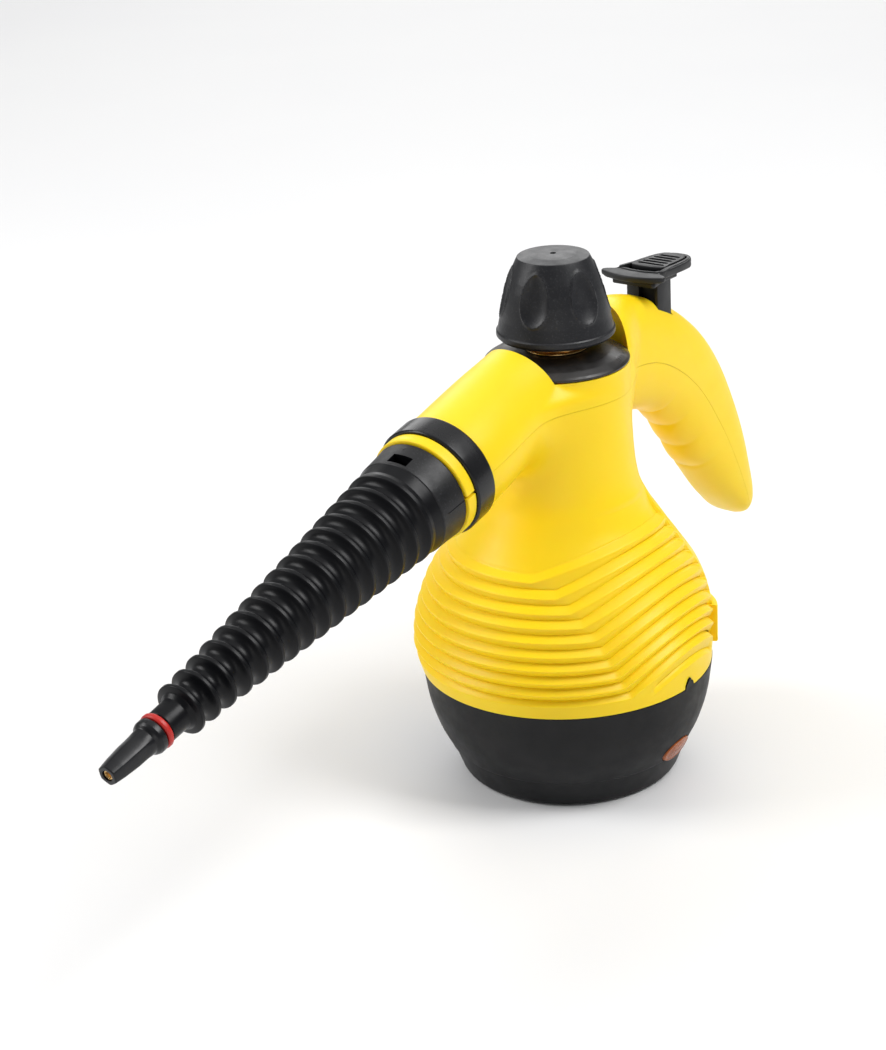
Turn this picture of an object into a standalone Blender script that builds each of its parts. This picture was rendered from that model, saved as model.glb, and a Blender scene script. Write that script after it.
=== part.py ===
"""Handheld steam generator for stripping wallpaper, modelled as separate pieces.

Metres, +Z up. The origin is the centre of the flat underside of the base. The
body's axis is Z, the spout and the nozzle point to -Y and a little down, and
the handle curves back over +Y.
"""

import math

import bmesh
import bpy
from mathutils import Matrix, Vector

MM = 0.001

# ---- driving dimensions, in millimetres ----
GAP = 0.3               # clearance between pieces that touch
WALL = 2.4              # moulded wall
BASE_H = 46.5           # top edge of the base
SEAT_Z = 174.4          # top of the neck, where the filler flange sits
NECK_R = 28.7
NOZZLE_TILT = 12.29     # degrees below horizontal
NOZZLE_Y, NOZZLE_Z = -91.6, 151.5   # where the nozzle's rear edge meets its axis
SPOUT_R = 21.5
NOZZLE_END = 150.8
TIP_END = 177.5
PAD_R = 63.9            # raised pad round the back, for the mains inlet
INLET_Z = 59.0
HANDLE_HALF = 13.0      # half of the handle's thickness across X
RING_PITCH = 7.95
RING_FIRST = 20.5
RINGS = 16
CAP_Z0 = 184.9
SCALLOP_A = -78.0
TRIGGER_Y0, TRIGGER_Y1 = 63.8, 74.4
LEVER_Y, LEVER_Z = 43.0, 154.0      # pivot of the valve lever
VALVE_Y = 19.5
FLANGE_R = 48.0         # the boiler's clamping flange
BOLT_R = 44.9

# (z, r) down the outside of the body, over the crests of the ribs
BODY = [
    (178, 28.7), (145, 28.7), (135, 29.4), (125, 31.1), (115, 35.6), (105, 42.4), (95, 49.3), (85, 55.6), (75, 59.4),
    (66, 61.5), (58, 62.2), (52, 61.2), (46.8, 59.9),
]
# each rib's groove: its height, then the rise and the half-angle of the arch it makes on the +X side
RIBS = [
    (101.2, 9.5, 71.5), (96.1, 9.6, 60.0), (91.0, 9.9, 54.2), (86.1, 10.0, 49.2), (80.8, 10.5, 45.0),
    (75.4, 11.1, 42.0), (70.2, 11.1, 39.7), (65.0, 11.1, 37.0), (59.9, 11.1, 35.0), (54.6, 11.5, 31.6),
]
RIB_DEPTH = 1.5
BODY_IN = [
    (172.0, 26.2), (145, 26.2), (125, 28.3), (115, 32.2), (90, 48.6), (75, 55.6), (58, 58.4), (44, 56.6),
]
# (z, r) up the outside of the base
BASE = [
    (0, 43.6), (0.6, 44.9), (2.0, 45.7), (12.2, 49.3), (13.2, 50.4),
    (22, 54.6), (33, 57.9), (46.5, 59.8),
]
# centre line of the handle (y, z), then its depth outwards and inwards
HANDLE = [
    (14.0, 167.0, 23.0, 19.0), (30.0, 165.5, 25.5, 22.0), (44.0, 162.4, 25.9, 22.5),
    (57.0, 157.8, 25.0, 21.3), (69.0, 151.8, 24.8, 19.6), (80.2, 144.5, 24.2, 19.5),
    (88.3, 137.5, 23.8, 20.4), (95.5, 129.5, 23.2, 20.9), (102.1, 121.0, 22.1, 20.8),
    (108.4, 112.3, 20.4, 20.3), (114.3, 103.3, 18.6, 18.6), (119.7, 94.0, 16.5, 16.6),
    (124.7, 84.5, 14.0, 13.8), (129.3, 75.6, 11.8, 9.8), (132.8, 68.9, 9.6, 7.0),
    (135.0, 64.7, 7.0, 4.4), (136.2, 62.4, 3.4, 2.0),
]
# parting line between the top cover and the body shell (y, z)
PARTING = [
    (-100, 150.6), (-92, 152.9), (-77, 156.9), (-70, 158.6), (-60, 160.4), (-48, 161.8),
    (-35, 163.0), (-10, 163.6), (10, 163.2), (35, 162.2), (50, 160.2), (62, 155.8),
    (70, 151.2), (78, 145.6), (86, 138.9), (94, 130.2), (102, 119.4), (111, 106.6),
    (119, 92.6), (128, 76.0), (136.2, 60.2), (150, 34.0),
]

for old in list(bpy.data.objects):
    bpy.data.objects.remove(old, do_unlink=True)


# ---- materials ----
def material(name, colour, rough, metal=0.0):
    m = bpy.data.materials.new(name)
    m.use_nodes = True
    p = m.node_tree.nodes["Principled BSDF"]
    p.inputs["Base Color"].default_value = (*colour, 1)
    p.inputs["Roughness"].default_value = rough
    p.inputs["Metallic"].default_value = metal
    m.diffuse_color = (*colour, 1)
    return m


YELLOW = (0.92, 0.66, 0.03), 0.38
BLACK = (0.022, 0.023, 0.026), 0.5
RUBBER = (0.015, 0.015, 0.015), 0.75
BRASS = (0.72, 0.5, 0.2), 0.3, 1.0
STEEL = (0.6, 0.6, 0.6), 0.32, 1.0
ALU = (0.75, 0.75, 0.76), 0.42, 1.0
COPPER = (0.78, 0.42, 0.26), 0.3, 1.0
RED = (0.62, 0.04, 0.03), 0.45
ORANGE = (0.62, 0.16, 0.06), 0.25
WHITE = (0.75, 0.73, 0.68), 0.5


# ---- making meshes ----
def add(name, bm, look, smooth=True, hidden=False, matrix=None):
    """A named object from a bmesh in millimetres, with its own material."""
    bmesh.ops.recalc_face_normals(bm, faces=bm.faces)
    if bm.calc_volume(signed=True) < 0:
        bmesh.ops.reverse_faces(bm, faces=bm.faces)
    bmesh.ops.scale(bm, vec=(MM, MM, MM), verts=bm.verts)
    if matrix is not None:
        bmesh.ops.transform(bm, matrix=matrix, verts=bm.verts)
    mesh = bpy.data.meshes.new(name)
    bm.to_mesh(mesh)
    bm.free()
    obj = bpy.data.objects.new(name, mesh)
    bpy.context.scene.collection.objects.link(obj)
    if smooth:
        mesh.shade_smooth()
        mesh.set_sharp_from_angle(angle=math.radians(35))
    if hidden:
        obj.hide_render = True
        obj.display_type = "WIRE"
    else:
        mesh.materials.append(material(name, *look))
    return obj


def skin(bm, loops, closed=False, caps=True):
    """Faces between successive loops of the same number of vertices."""
    pairs = list(zip(loops, loops[1:] + loops[:1])) if closed else list(zip(loops, loops[1:]))
    for a, b in pairs:
        n = len(a)
        for i in range(n):
            j = (i + 1) % n
            if a[i] is a[j] and b[i] is b[j]:
                continue
            bm.faces.new([a[i], a[j], b[j], b[i]])
    if caps and not closed:
        bm.faces.new(loops[0])
        bm.faces.new(list(reversed(loops[-1])))


def turned(profile, steps, bore=True, wobble=None, phase=0.0):
    """A profile of (r, z) turned about Z. With bore it is a closed ring section; without, both ends are capped flat."""
    bm = bmesh.new()
    loops = []
    for r, z in profile:
        loop = []
        for k in range(steps):
            a = 2 * math.pi * k / steps + phase
            rr, zz = (r, z) if wobble is None else wobble(r, z, a)
            loop.append(bm.verts.new((rr * math.cos(a), rr * math.sin(a), zz)))
        loops.append(loop)
    skin(bm, loops, closed=bore, caps=not bore)
    return bm


def box(x0, x1, y0, y1, z0, z1):
    bm = bmesh.new()
    bmesh.ops.create_cube(bm, size=1)
    bmesh.ops.scale(bm, vec=(x1 - x0, y1 - y0, z1 - z0), verts=bm.verts)
    bmesh.ops.translate(bm, vec=((x0 + x1) / 2, (y0 + y1) / 2, (z0 + z1) / 2), verts=bm.verts)
    return bm


def slab(outline, low, high, axis="Z"):
    """An outline of two coordinates pushed out along the third, from low to high."""
    bm = bmesh.new()

    def at(p, h):
        return {"X": (h, p[0], p[1]), "Y": (p[0], h, p[1]), "Z": (p[0], p[1], h)}[axis]

    a = [bm.verts.new(at(p, low)) for p in outline]
    b = [bm.verts.new(at(p, high)) for p in outline]
    skin(bm, [a, b])
    return bm


def cylinder(r, z0, z1, steps=20, x=0.0, y=0.0):
    bm = turned([(r, z0), (r, z1)], steps, bore=False)
    bmesh.ops.rotate(bm, cent=(0, 0, 0), matrix=Matrix.Rotation(0.11, 3, "Z"), verts=bm.verts)
    bmesh.ops.translate(bm, vec=(x, y, 0), verts=bm.verts)
    return bm


def rod_x(r, x0, x1, y, z, steps=16):
    bm = turned([(r, x0), (r, x1)], steps, bore=False)
    bmesh.ops.rotate(bm, cent=(0, 0, 0), matrix=Matrix.Rotation(math.pi / 2, 3, "Y"), verts=bm.verts)
    bmesh.ops.translate(bm, vec=(0, y, z), verts=bm.verts)
    return bm


def rod_y(r, y0, y1, x, z, steps=16):
    bm = turned([(r, y0), (r, y1)], steps, bore=False)
    bmesh.ops.rotate(bm, cent=(0, 0, 0), matrix=Matrix.Rotation(-math.pi / 2, 3, "X"), verts=bm.verts)
    bmesh.ops.translate(bm, vec=(x, 0, z), verts=bm.verts)
    return bm


def smooth_path(points, count):
    """Points along a Catmull-Rom curve through the given points."""
    pts = [Vector(p) for p in points]
    pts = [2 * pts[0] - pts[1]] + pts + [2 * pts[-1] - pts[-2]]
    out = []
    spans = len(pts) - 3
    for k in range(count):
        t = k / (count - 1) * spans
        i = min(int(t), spans - 1)
        u = t - i
        a, b, c, d = pts[i : i + 4]
        out.append(
            0.5 * (2 * b + (c - a) * u + (2 * a - 5 * b + 4 * c - d) * u * u + (3 * b - a - 3 * c + d) * u ** 3)
        )
    return out


def swept(path, r_out, r_in=None, sides=8):
    """A round bar, or a tube with both ends open, along a path."""
    bm = bmesh.new()
    n = len(path)
    up = Vector((0, 0, 1))
    t0 = (path[1] - path[0]).normalized()
    normal = up.cross(t0)
    if normal.length < 0.1:
        normal = Vector((1, 0, 0))
    normal.normalize()
    outer, inner = [], []
    for i, p in enumerate(path):
        t = (path[min(i + 1, n - 1)] - path[max(i - 1, 0)]).normalized()
        normal = (normal - t * normal.dot(t)).normalized()
        other = t.cross(normal)

        def ring(r):
            return [
                bm.verts.new(p + r * (math.cos(2 * math.pi * k / sides) * normal + math.sin(2 * math.pi * k / sides) * other))
                for k in range(sides)
            ]

        outer.append(ring(r_out))
        if r_in:
            inner.append(ring(r_in))
    if r_in:
        skin(bm, outer + inner[::-1], closed=True, caps=False)
    else:
        skin(bm, outer)
    return bm


def coil(r, wire, z0, z1, turns, y=0.0, per_turn=12, sides=6):
    """A compression spring standing on Z with closed flat-lying ends."""
    n = int(turns * per_turn)
    path = []
    for k in range(n + 1):
        t = k / n
        lift = min(max((t * turns - 0.75) / (turns - 1.5), 0.0), 1.0)
        a = 2 * math.pi * turns * t
        drop = 0.35 * wire * 2 * (min(t * turns, 0.75) / 0.75 + max(t * turns - turns + 0.75, 0) / 0.75 - 1)
        path.append(Vector((r * math.cos(a), y + r * math.sin(a), z0 + wire * 1.75 + (z1 - z0 - wire * 3.5) * lift + drop)))
    return swept(path, wire, None, sides)


def cut(obj, cutter, how="DIFFERENCE"):
    m = obj.modifiers.new(how.lower() + str(len(obj.modifiers)), "BOOLEAN")
    m.operation = how
    m.object = cutter
    return m


def helper(name, bm, matrix=None):
    return add("cut_" + name, bm, None, smooth=False, hidden=True, matrix=matrix)


# nozzle frame: local +Z runs out along the nozzle, local +Y points up and forward
NOZZLE = Matrix.Translation((0, NOZZLE_Y * MM, NOZZLE_Z * MM)) @ Matrix.Rotation(math.radians(90 + NOZZLE_TILT), 4, "X")


# ---- casing ----
def rows(table, first=None):
    return [(r, z) for z, r in table]


def handle_bm(shrink, half, sides=16):
    """The handle as a run of rounded sections square to its centre line."""
    bm = bmesh.new()
    loops = []
    n = len(HANDLE)
    last = n if shrink == 0 else n - 2
    for i in range(last):
        y, z, out, inn = HANDLE[i]
        a, b = HANDLE[max(i - 1, 0)], HANDLE[min(i + 1, n - 1)]
        t = Vector((0, b[0] - a[0], b[1] - a[1])).normalized()
        nrm = Vector((0, -t.z, t.y))
        if nrm.z < 0 and nrm.y < 0:
            nrm = -nrm
        taper = 1.0 if i < n - 5 else (0.98, 0.95, 0.88, 0.72, 0.4)[i - (n - 5)]
        loop = []
        for k in range(sides):
            a2 = 2 * math.pi * k / sides
            c, s = math.cos(a2), math.sin(a2)
            e = 0.86
            x = (half - shrink) * taper * math.copysign(abs(c) ** e, c)
            d = ((out if s > 0 else inn) - shrink) * math.copysign(abs(s) ** e, s)
            loop.append(bm.verts.new(Vector((x, y, z)) + nrm * d))
        loops.append(loop)
    skin(bm, loops)
    return bm


def parting_half(upper):
    """Everything above, or below, the parting line, less half of the gap."""
    shift = GAP / 2 if upper else -GAP / 2
    n = len(PARTING)
    line = []
    for i, (y, z) in enumerate(PARTING):
        a, b = PARTING[max(i - 1, 0)], PARTING[min(i + 1, n - 1)]
        t = Vector((b[0] - a[0], b[1] - a[1])).normalized()
        line.append((y - t.y * shift, z + t.x * shift))
    if upper:
        line += [(230, 20), (230, 260), (-130, 260), (-130, line[0][1])]
    else:
        line += [(150, -20), (-130, -20), (-130, line[0][1])]
    return slab(line, -90, 90, "X")




def spout_bm(r, back, front):
    """Round at its mouth, narrower across X where it meets the neck."""
    bm = turned([(r, back), (r, -66), (r, -48), (r, -34), (r, front)], 28, bore=False)
    for v in bm.verts:
        v.co.x *= 1 - 0.11 * min(max((-30 - v.co.z) / 34, 0), 1)
    return bm


outer_spout = helper("spout_outer", spout_bm(SPOUT_R, -88, 0), NOZZLE)
outer_handle = helper("handle_outer", handle_bm(0, HANDLE_HALF))
PAD = [(PAD_R * math.sin(math.radians(a)), -PAD_R * math.cos(math.radians(a))) for a in range(122, 239, 8)]
PAD = [p for p in PAD if p[0] > 12] + [(11.0, 66.5), (-11.0, 66.5)] + [p for p in PAD if p[0] < -12] + [(-30, 20), (30, 20)]
outer_boss = helper("boss_outer", slab(PAD, 50.8, 67.2))
inner_body = helper("body_inner", turned(rows(BODY_IN), 36, bore=False))
inner_spout = helper("spout_inner", spout_bm(SPOUT_R - WALL, -86, 3), NOZZLE)
inner_handle = helper("handle_inner", handle_bm(WALL, HANDLE_HALF))
flange_wall = helper("flange_wall", cylinder(32.1, SEAT_Z - WALL, 260, 40))
cut(inner_handle, flange_wall)
cut(inner_spout, flange_wall)
seat_cut = helper("seat", cylinder(29.4, SEAT_Z, 240, 40))
neck_hole = helper("neck_hole", cylinder(10.4, 150, 200, 24))
collar_groove = helper("collar_groove", turned([(24.0, -16.6), (24.0, -4.7), (20.5, -4.7), (20.5, -16.6)], 28), NOZZLE)
stem_slot = helper("stem_slot", box(-7.9, 7.9, TRIGGER_Y0 - 0.4, TRIGGER_Y1 + 0.4, 166, 200))
gland_hole = helper("gland_hole", rod_y(6.0, 50, 80, 0, INLET_Z, 20))
tooth = helper("tooth", slab([(-5.0, 46.0), (-4.8, 48.2), (-3.0, 51.3), (-2.0, 51.6), (2.5, 46.0)], 50, 70, "X"))
upper_half = helper("upper_half", parting_half(True))
lower_half = helper("lower_half", parting_half(False))


def envelope(z):
    for (za, ra), (zb, rb) in zip(BODY, BODY[1:]):
        if z >= zb:
            return rb + (ra - rb) * (z - zb) / (za - zb)
    return BODY[-1][1]


def body_bm(steps=36):
    """The ribbed body, turned about Z. Each rib runs level round the front and arches up over the +X side."""
    rows = [(z, 0.0, 0.0, 1.0) for z, r in BODY if z > 104]
    for z, rise, half in RIBS:
        rows += [(z, RIB_DEPTH, rise, half), (z - 2.6, 0.0, rise, half)]
    rows += [(49.6, 0.3, 0.0, 1.0), (46.8, 0.0, 0.0, 1.0)]
    bm = bmesh.new()
    loops = []
    for z, depth, rise, half in rows:
        loop = []
        for k in range(steps):
            a = 2 * math.pi * k / steps
            u = abs((math.degrees(a) + 180) % 360 - 180) / half
            zz = z + (rise * (1 - u * u) if u < 1 else 0.0)
            r = envelope(zz) - depth
            loop.append(bm.verts.new((r * math.cos(a), r * math.sin(a), zz)))
        loops.append(loop)
    skin(bm, loops)
    return bm


def casing(name, half):
    obj = add(name, body_bm(), YELLOW)
    cut(obj, outer_spout, "UNION")
    cut(obj, outer_handle, "UNION")
    cut(obj, outer_boss, "UNION")
    cut(obj, inner_body)
    cut(obj, inner_spout)
    cut(obj, inner_handle)
    cut(obj, seat_cut)
    cut(obj, neck_hole)
    cut(obj, collar_groove)
    cut(obj, half, "INTERSECT")
    return obj


body_shell = casing("body_shell", lower_half)
cut(body_shell, gland_hole)
cut(body_shell, tooth)
top_cover = casing("top_cover", upper_half)
stem_guide = helper("stem_guide", box(-9.6, 9.6, TRIGGER_Y0 - 1.9, TRIGGER_Y1 + 1.9, 167.4, 190))
cut(stem_guide, outer_handle, "INTERSECT")
cut(top_cover, stem_guide, "UNION")
cut(top_cover, stem_slot)

# black base: a cup with four screw bosses and a window for the lamp
base = add(
    "base_cup",
    turned(
        [(r, z) for z, r in BASE]
        + [(57.2, 46.5), (54.4, 30.0), (51.9, 22.0), (47.7, 13.0), (43.0, 3.0)],
        36,
        bore=False,
    ),
    BLACK,
)
BOSSES = [(27, 27), (-27, 27), (-27, -27), (27, -27)]
for i, (x, y) in enumerate(BOSSES):
    cut(base, helper(f"boss{i}", cylinder(5.0, 1.5, 21.0, 14, x, y)), "UNION")
    cut(base, helper(f"screw_way{i}", cylinder(1.95, -1, 30, 12, x, y)))
    cut(base, helper(f"screw_head{i}", cylinder(3.7, -1, 12.0, 12, x, y)))


def oval_x(ry, rz, x0, x1, steps=20, z=16.3, lean=0.0):
    """An oval bar along X; lean slopes its two ends with the wall it sits in."""
    bm = bmesh.new()
    loops = []
    for x in (x0, x1):
        loops.append(
            [
                bm.verts.new(
                    (
                        x + lean * rz * math.sin(2 * math.pi * k / steps),
                        ry * math.cos(2 * math.pi * k / steps),
                        z + rz * math.sin(2 * math.pi * k / steps),
                    )
                )
                for k in range(steps)
            ]
        )
    skin(bm, loops)
    return bm


cut(base, helper("lens_hole", oval_x(8.9, 5.2, 38, 60)))

tongue = slab([(-4.6, 43.0), (-4.5, 48.0), (-2.8, 51.0), (-2.1, 51.1), (2.0, 45.9), (2.0, 43.0)], 57.5, 59.75, "X")
for v in tongue.verts:
    v.co.x += 0.2 * (v.co.z - 46.5)
cut(base, helper("tongue", tongue), "UNION")

add("indicator_lens", oval_x(8.5, 4.8, 46.0, 52.9, lean=0.44), ORANGE)
add("indicator_lamp", rod_x(3.0, 33.0, 43.6, 0, 14.0, 12), WHITE)
add("lamp_holder", slab([(-7, 3.3), (7, 3.3), (7, 10.6), (-7, 10.6)], 33.0, 41.0, "X"), WHITE, smooth=False)

# ring that clamps the two halves of the spout
add("spout_collar", turned([(22.3, -16.0), (22.6, -15.4), (22.6, -5.6), (22.3, -5.0), (20.8, -5.0), (20.8, -16.0)], 28), BLACK, matrix=NOZZLE)

# ---- filler ----
add(
    "filler_flange",
    turned(
        [(11.0, 174.7), (28.5, 174.7), (28.9, 175.3), (28.3, 176.1), (25.6, 177.9), (22.4, 179.4), (15.5, 180.3), (11.0, 180.3)][::-1],
        36,
    ),
    BLACK,
)
add(
    "filler_neck",
    turned([(6.6, 111.0), (6.6, 184.2), (9.2, 184.2), (9.2, 116.6), (12.4, 116.6), (12.4, 114.9), (8.9, 114.9), (8.9, 111.0)], 24),
    BRASS,
)


def six_sided(r, z, a):
    """A hexagon across its corners at the outside, a round bore inside."""
    if r < 12:
        return r, z
    turn = math.radians((math.degrees(a) + 30) % 60 - 30)
    return r * math.cos(math.pi / 6) / math.cos(turn), z


nut = turned([(9.5, 180.6), (9.5, 183.9), (13.6, 183.9), (14.6, 183.3), (14.6, 180.6)], 24, wobble=six_sided)
add("neck_nut", nut, BRASS, smooth=False)


# ---- safety cap ----
def scallop(r, z, a):
    """Six oval thumb dents round the cap."""
    if r < 14.5 or z < CAP_Z0 + 3:
        return r, z
    best = 1e9
    for k in range(6):
        d = (a - math.radians(SCALLOP_A + 60 * k) + math.pi) % (2 * math.pi) - math.pi
        best = min(best, abs(d))
    u = best / math.radians(15)
    v = (z - 200.6) / 10.8
    q = 1 - u * u - v * v
    return (r - 1.6 * math.sqrt(q) if q > 0 else r), z


CAP_OUT = [
    (22.2, 184.7), (23.4, 185.5), (23.5, 187.4), (22.6, 188.8), (21.9, 193.5), (21.3, 197.5),
    (20.6, 201.5), (19.5, 205.5), (18.1, 209.5), (15.3, 215.6), (14.2, 217.2), (12.6, 217.9),
]
CAP_IN = [(1.2, 218.2), (1.2, 214.6), (11.4, 214.6), (16.6, 205.5), (18.6, 198.0), (20.6, 184.7)]
add("cap_shell", turned(CAP_OUT + CAP_IN, 36, wobble=scallop, phase=math.radians(2)), BLACK)
add("cap_carrier", turned([(3.2, 211.0), (3.2, 214.2), (10.6, 214.2), (12.6, 211.6), (14.4, 204.0), (14.4, 190.0), (13.2, 190.0), (13.2, 204.0), (11.4, 211.0)], 24), BLACK)
add("cap_spring", coil(7.6, 0.6, 193.4, 210.7, 4, per_turn=10, sides=5), STEEL)
add(
    "cap_plug",
    turned([(1.6, 162.0), (1.6, 193.0), (11.6, 193.0), (12.6, 192.2), (12.6, 188.2), (11.6, 187.4), (6.2, 187.4), (6.2, 163.0), (5.4, 162.0)], 24),
    BRASS,
)
add("cap_gasket", turned([(6.6, 184.6), (6.6, 187.0), (9.6, 187.0), (9.6, 184.6)], 24), RUBBER)

# ---- boiler ----
boiler_top = add(
    "boiler_top",
    turned(
        [
            (9.4, 110.4), (9.4, 113.2), (10.0, 114.6), (14.5, 114.6), (18.0, 111.8), (31.0, 106.0), (38.0, 98.0), (41.0, 88.0), (41.4, 74.6),
            (FLANGE_R, 74.6), (FLANGE_R, 69.6), (38.2, 69.6), (38.2, 86.0), (35.6, 95.5), (29.0, 102.6), (17.0, 108.0),
        ][::-1],
        28,
    ),
    ALU,
)
cut(boiler_top, helper("valve_boss", cylinder(6.4, 104, 116.2, 16, 0, VALVE_Y)), "UNION")
cut(boiler_top, helper("valve_port", cylinder(1.8, 95, 120, 10, 0, VALVE_Y)))
boiler_bottom = add(
    "boiler_bottom",
    turned(
        [(33.0, 32.0), (36.5, 34.0), (40.4, 40.0), (41.4, 63.0), (FLANGE_R, 63.0), (FLANGE_R, 67.9), (38.2, 67.9), (37.4, 42.0), (35.0, 37.6), (31.0, 35.2)],
        28,
        bore=False,
    ),
    ALU,
)
for i, (x, y) in enumerate(BOSSES):
    cut(boiler_bottom, helper(f"lug{i}", cylinder(4.2, 21.5, 38.0, 12, x, y)), "UNION")
    cut(boiler_bottom, helper(f"lug_hole{i}", cylinder(1.95, 15, 32.5, 12, x, y)))
BOLTS = [(math.cos(math.radians(a)) * BOLT_R, math.sin(math.radians(a)) * BOLT_R) for a in (0, 90, 180, 270)]
for i, (x, y) in enumerate(BOLTS):
    way = helper(f"bolt_way{i}", cylinder(1.75, 55, 85, 10, x, y))
    cut(boiler_top, way)
    cut(boiler_bottom, way)
add("boiler_gasket", turned([(38.4, 68.2), (38.4, 69.3), (41.2, 69.3), (41.2, 68.2)], 28), RUBBER)
for i, (x, y) in enumerate(BOLTS):
    bm = turned([(2.4, 62.7 - 2.2), (2.4, 62.7), (1.45, 62.7), (1.45, 74.9), (2.4, 74.9), (2.4, 77.4)], 10, bore=False)
    bmesh.ops.translate(bm, vec=(x, y, 0), verts=bm.verts)
    add(f"boiler_bolt_{i + 1}", bm, STEEL)
for i, (x, y) in enumerate(BOSSES):
    bm = turned([(3.2, 9.4), (3.2, 11.7), (1.6, 11.7), (1.6, 30.0)], 12, bore=False)
    bmesh.ops.translate(bm, vec=(x, y, 0), verts=bm.verts)
    add(f"base_screw_{i + 1}", bm, STEEL)

# heating element clamped under the boiler: an open ring with its two ends turned down
ring_path = []
for k in range(21):
    a = math.radians(30 + 300 * k / 20)
    ring_path.append(Vector((20.5 * math.cos(a), 20.5 * math.sin(a), 28.2)))
ring_path = [ring_path[0] + Vector((3.2, -2.6, -8)), ring_path[0] + Vector((2.6, -2.2, -3.5))] + ring_path + [
    ring_path[-1] + Vector((2.6, 2.2, -3.5)), ring_path[-1] + Vector((3.2, 2.6, -8)),
]
add("heating_element", swept(ring_path, 3.1, None, 8), STEEL)
add("thermostat", turned([(8.2, 26.4), (8.2, 31.7)], 20, bore=False), STEEL)
add("thermostat_body", cylinder(7.0, 20.5, 26.1, 20), WHITE)
add("thermal_cutout", slab([(-16.2, -4.6), (-9.8, -4.6), (-9.8, 4.6), (-16.2, 4.6)], 26.6, 31.7), STEEL, smooth=False)
add("terminal_block", box(-15, 9, -36, -26, 3.3, 14.5), WHITE, smooth=False)

for side, y in (("front", -1), ("back", 1)):
    lead = smooth_path([(-3 + 5 * y, -29.0, 14.9), (-3 + 5 * y, -28.0, 18.6), (8 + 3 * y, -20.0, 19.0), (24 + 4 * y, -6.0, 14.0), (21.6, 7.6 * y, 14.0), (20.9, 7.6 * y, 19.6)], 13)
    add(f"element_lead_{side}", swept(lead, 1.1, None, 6), RUBBER)

# ---- steam valve ----
valve = add(
    "valve_body",
    turned([(2.0, 116.5), (2.0, 138.0), (4.6, 138.0), (5.6, 137.0), (5.6, 120.5), (6.6, 120.5), (6.6, 116.5)], 20),
    BRASS,
    matrix=Matrix.Translation((0, VALVE_Y * MM, 0)),
)
cut(valve, helper("valve_outlet", rod_x(2.6, 3.5, 11.0, VALVE_Y, 129.0, 12)), "UNION")
cut(valve, helper("valve_outlet_bore", rod_x(1.4, 0.5, 12.0, VALVE_Y, 129.0, 10)))
add(
    "valve_pin",
    turned([(1.7, 118.5), (1.7, 155.4), (2.7, 155.4), (2.7, 157.2)], 12, bore=False),
    STEEL,
    matrix=Matrix.Translation((0, VALVE_Y * MM, 0)),
)
add("valve_spring", coil(3.4, 0.45, 157.5, 171.7, 5, VALVE_Y, 9, 5), STEEL)

# lever: front eye under the pin's head, rear arm under the trigger
lever = add(
    "valve_lever",
    slab(
        [
            (14.6, 152.0), (36.0, 151.4), (40.0, 149.6), (43.0, 149.0), (46.0, 149.6), (53.0, 153.6), (63.0, 159.8), (72.6, 159.8),
            (72.6, 163.0), (62.0, 163.0), (52.0, 158.2), (46.0, 158.4), (43.0, 159.0), (40.0, 158.4), (36.0, 155.0), (14.6, 155.0),
        ],
        -3.8, 3.8, "X",
    ),
    BLACK,
    smooth=False,
)
cut(lever, helper("lever_eye", cylinder(2.6, 145, 165, 14, 0, VALVE_Y)))
cut(lever, helper("lever_pivot", rod_x(1.95, -10, 10, LEVER_Y, LEVER_Z, 14)))
add("lever_pin", rod_x(1.6, -8.2, 8.2, LEVER_Y, LEVER_Z, 14), STEEL)
bracket = add("lever_bracket", slab([(-4.8, 145.9), (4.8, 145.9), (7.9, 151.0), (7.9, 158.4), (4.6, 158.4), (4.6, 148.2), (-4.6, 148.2), (-4.6, 158.4), (-7.9, 158.4), (-7.9, 151.0)], 38.0, 48.0, "Y"), BLACK, smooth=False)
cut(bracket, helper("bracket_holes", rod_x(1.95, -12, 12, LEVER_Y, LEVER_Z, 14)))

# steam pipe from the valve round the filler neck to the spout
axis = Vector((0, -math.cos(math.radians(NOZZLE_TILT)), -math.sin(math.radians(NOZZLE_TILT))))
mouth = Vector((0, NOZZLE_Y, NOZZLE_Z))
pipe = smooth_path(
    [
        (11.9, VALVE_Y - 0.2, 129.0), (15.4, 17.6, 129.6), (17.8, 10.0, 132.5), (17.2, -1.0, 138.5), (13.0, -14.0, 146.5), (6.0, -27.0, 154.5),
        mouth + axis * -49, mouth + axis * -36, mouth + axis * -22.4,
    ],
    25,
)
add("steam_pipe", swept(pipe, 2.4, 1.4, 6), COPPER)

# ---- outlet that the nozzle plugs on to ----
outlet = add(
    "outlet_spigot",
    turned(
        [
            (1.6, -22.0), (1.6, 15.0), (13.6, 15.0), (15.0, 13.8), (15.0, 11.6), (12.6, 11.6), (12.6, 8.8), (15.0, 8.8), (15.0, -7.6),
            (18.7, -7.6), (18.7, -12.4), (8.0, -12.4), (4.6, -15.0), (4.6, -22.0),
        ],
        24,
    ),
    BLACK,
    matrix=NOZZLE,
)
add("outlet_seal", turned([(13.0, 9.1), (15.4, 9.1), (16.0, 10.2), (15.4, 11.3), (13.0, 11.3)], 24), RUBBER, matrix=NOZZLE)


# ---- nozzle ----
def ring_radius(s):
    table = [(20.5, 19.15), (44.35, 17.2), (60.3, 15.8), (76.2, 14.55), (92.0, 13.25), (108.0, 11.95), (124.0, 10.65), (139.9, 9.75)]
    for (a, ra), (b, rb) in zip(table, table[1:]):
        if s <= b:
            return ra + (rb - ra) * (s - a) / (b - a)
    return table[-1][1]


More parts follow.
